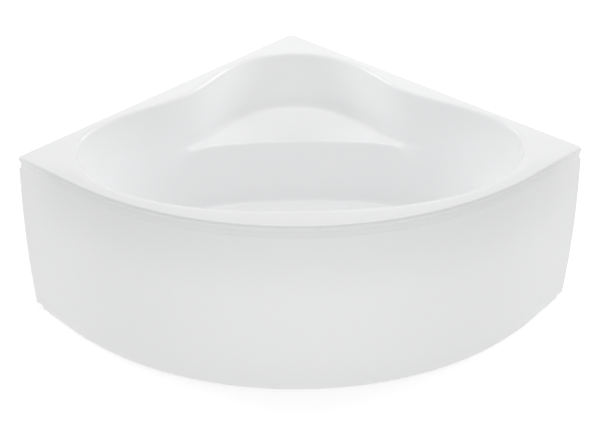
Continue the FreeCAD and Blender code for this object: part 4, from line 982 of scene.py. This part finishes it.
FLOOR_HALF = 60.0
FLOOR_TONE = 0.85
FLOOR_LIGHT = 0.247
FLOOR_GLOW = 0.15
SKY_LIGHT = 0.49
BRIGHT_BELOW = 0.462
DIM_ABOVE = 0.5
MIRRORED_LOW = 0.62
MIRRORED_HIGH = 0.66
floor_mesh = bpy.data.meshes.new("floor")
floor_mesh.from_pydata([(-FLOOR_HALF, -FLOOR_HALF, 0), (FLOOR_HALF, -FLOOR_HALF, 0),
                        (FLOOR_HALF, FLOOR_HALF, 0), (-FLOOR_HALF, FLOOR_HALF, 0)], [], [(0, 1, 2, 3)])
floor = bpy.data.objects.new("floor", floor_mesh)
bpy.context.scene.collection.objects.link(floor)
floor_finish = Finish("studio_floor")
seen = floor_finish.node("ShaderNodeLightPath", result="Is Camera Ray")
plain = floor_finish.node("ShaderNodeBsdfDiffuse", None, {
    "Color": tone(FLOOR_TONE, FLOOR_TONE, FLOOR_TONE)})
glow = floor_finish.node("ShaderNodeEmission", None, {
    "Color": tone(1, 1, 1), "Strength": seen * FLOOR_GLOW + FLOOR_LIGHT})
floor_mesh.materials.append(floor_finish.send(
    floor_finish.node("ShaderNodeAddShader", None, {0: plain, 1: glow})))

world = bpy.data.worlds.new("studio")
bpy.context.scene.world = world
sky = Shader(world, "ShaderNodeOutputWorld")
path_seen = sky.node("ShaderNodeLightPath", result="Is Camera Ray")
path_glossy = sky.node("ShaderNodeLightPath", result="Is Glossy Ray")
heading = sky.node("ShaderNodeTexCoord", result="Generated")
height = sky.node("ShaderNodeSeparateXYZ", None, {0: heading}, "Z")
mirrored_sky = sky.node("ShaderNodeMapRange", {"interpolation_type": "SMOOTHSTEP"}, {
    "Value": height, "From Min": BRIGHT_BELOW, "From Max": DIM_ABOVE,
    "To Min": MIRRORED_LOW, "To Max": MIRRORED_HIGH})
plain_light = SKY_LIGHT * (1 - path_seen) * (1 - path_glossy)
sky.send(sky.node("ShaderNodeBackground", None, {
    "Color": tone(1, 1, 1), "Strength": plain_light + path_seen + mirrored_sky * path_glossy}))


def lamp(name, spot, target, width, height, power):
    """Soft rectangle of light, in metres and watts, that faces a target."""
    data = bpy.data.lights.new(name, "AREA")
    data.shape = "RECTANGLE"
    data.size = width
    data.size_y = height
    data.energy = power
    made = bpy.data.objects.new(name, data)
    made.location = spot
    made.rotation_mode = "QUATERNION"
    made.rotation_quaternion = (Vector(target) - Vector(spot)).to_track_quat("-Z", "Y")
    bpy.context.scene.collection.objects.link(made)


lamp("lamp_above", (0.2, -0.5, 4.5), (0, -0.1, 0.4), 3.5, 3.5, 27)
lamp("lamp_middle", (0.1, 0.5, 2.6), (0.05, 0.3, 0.4), 1.6, 1.2, 8.4)
lamp("lamp_front", (0.5, -5.5, 3.4), (0, 0, 0.3), 4, 2.5, 20)
lamp("lamp_low", (-0.1, -2.7, 0.12), (0, -0.8, 0.25), 2.4, 0.8, 5)
lamp("lamp_left", (-4, 2.2, 2.2), (0.3, -0.2, 0.45), 2.2, 1.5, 55)
lamp("lamp_right", (4, 2.2, 2.2), (-0.3, -0.2, 0.45), 2.2, 1.5, 54)

# Camera at the photograph's viewing angle

CAMERA_SPOT = Vector((-0.2830, -6.8721, 4.1383))
CAMERA_YAW = math.radians(2.398)
CAMERA_PITCH = math.radians(29.253)
CAMERA_ROLL = math.radians(0.116)
CAMERA_SENSOR = 36.0
CAMERA_LENS = 129.08
CAMERA_REACH = 200.0
ahead = Vector((math.sin(CAMERA_YAW) * math.cos(CAMERA_PITCH),
                math.cos(CAMERA_YAW) * math.cos(CAMERA_PITCH), -math.sin(CAMERA_PITCH)))
level_right = Vector((math.cos(CAMERA_YAW), -math.sin(CAMERA_YAW), 0))
level_up = level_right.cross(ahead)
right = level_right * math.cos(CAMERA_ROLL) + level_up * math.sin(CAMERA_ROLL)
up = level_up * math.cos(CAMERA_ROLL) - level_right * math.sin(CAMERA_ROLL)
camera_data = bpy.data.cameras.new("camera")
camera_data.sensor_width = CAMERA_SENSOR
camera_data.lens = CAMERA_LENS
camera_data.clip_end = CAMERA_REACH
camera = bpy.data.objects.new("camera", camera_data)
camera.matrix_world = Matrix((
    (right.x, up.x, -ahead.x, CAMERA_SPOT.x), (right.y, up.y, -ahead.y, CAMERA_SPOT.y),
    (right.z, up.z, -ahead.z, CAMERA_SPOT.z), (0, 0, 0, 1)))
bpy.context.scene.collection.objects.link(camera)
bpy.context.scene.camera = camera
bpy.context.scene.view_settings.view_transform = "Standard"
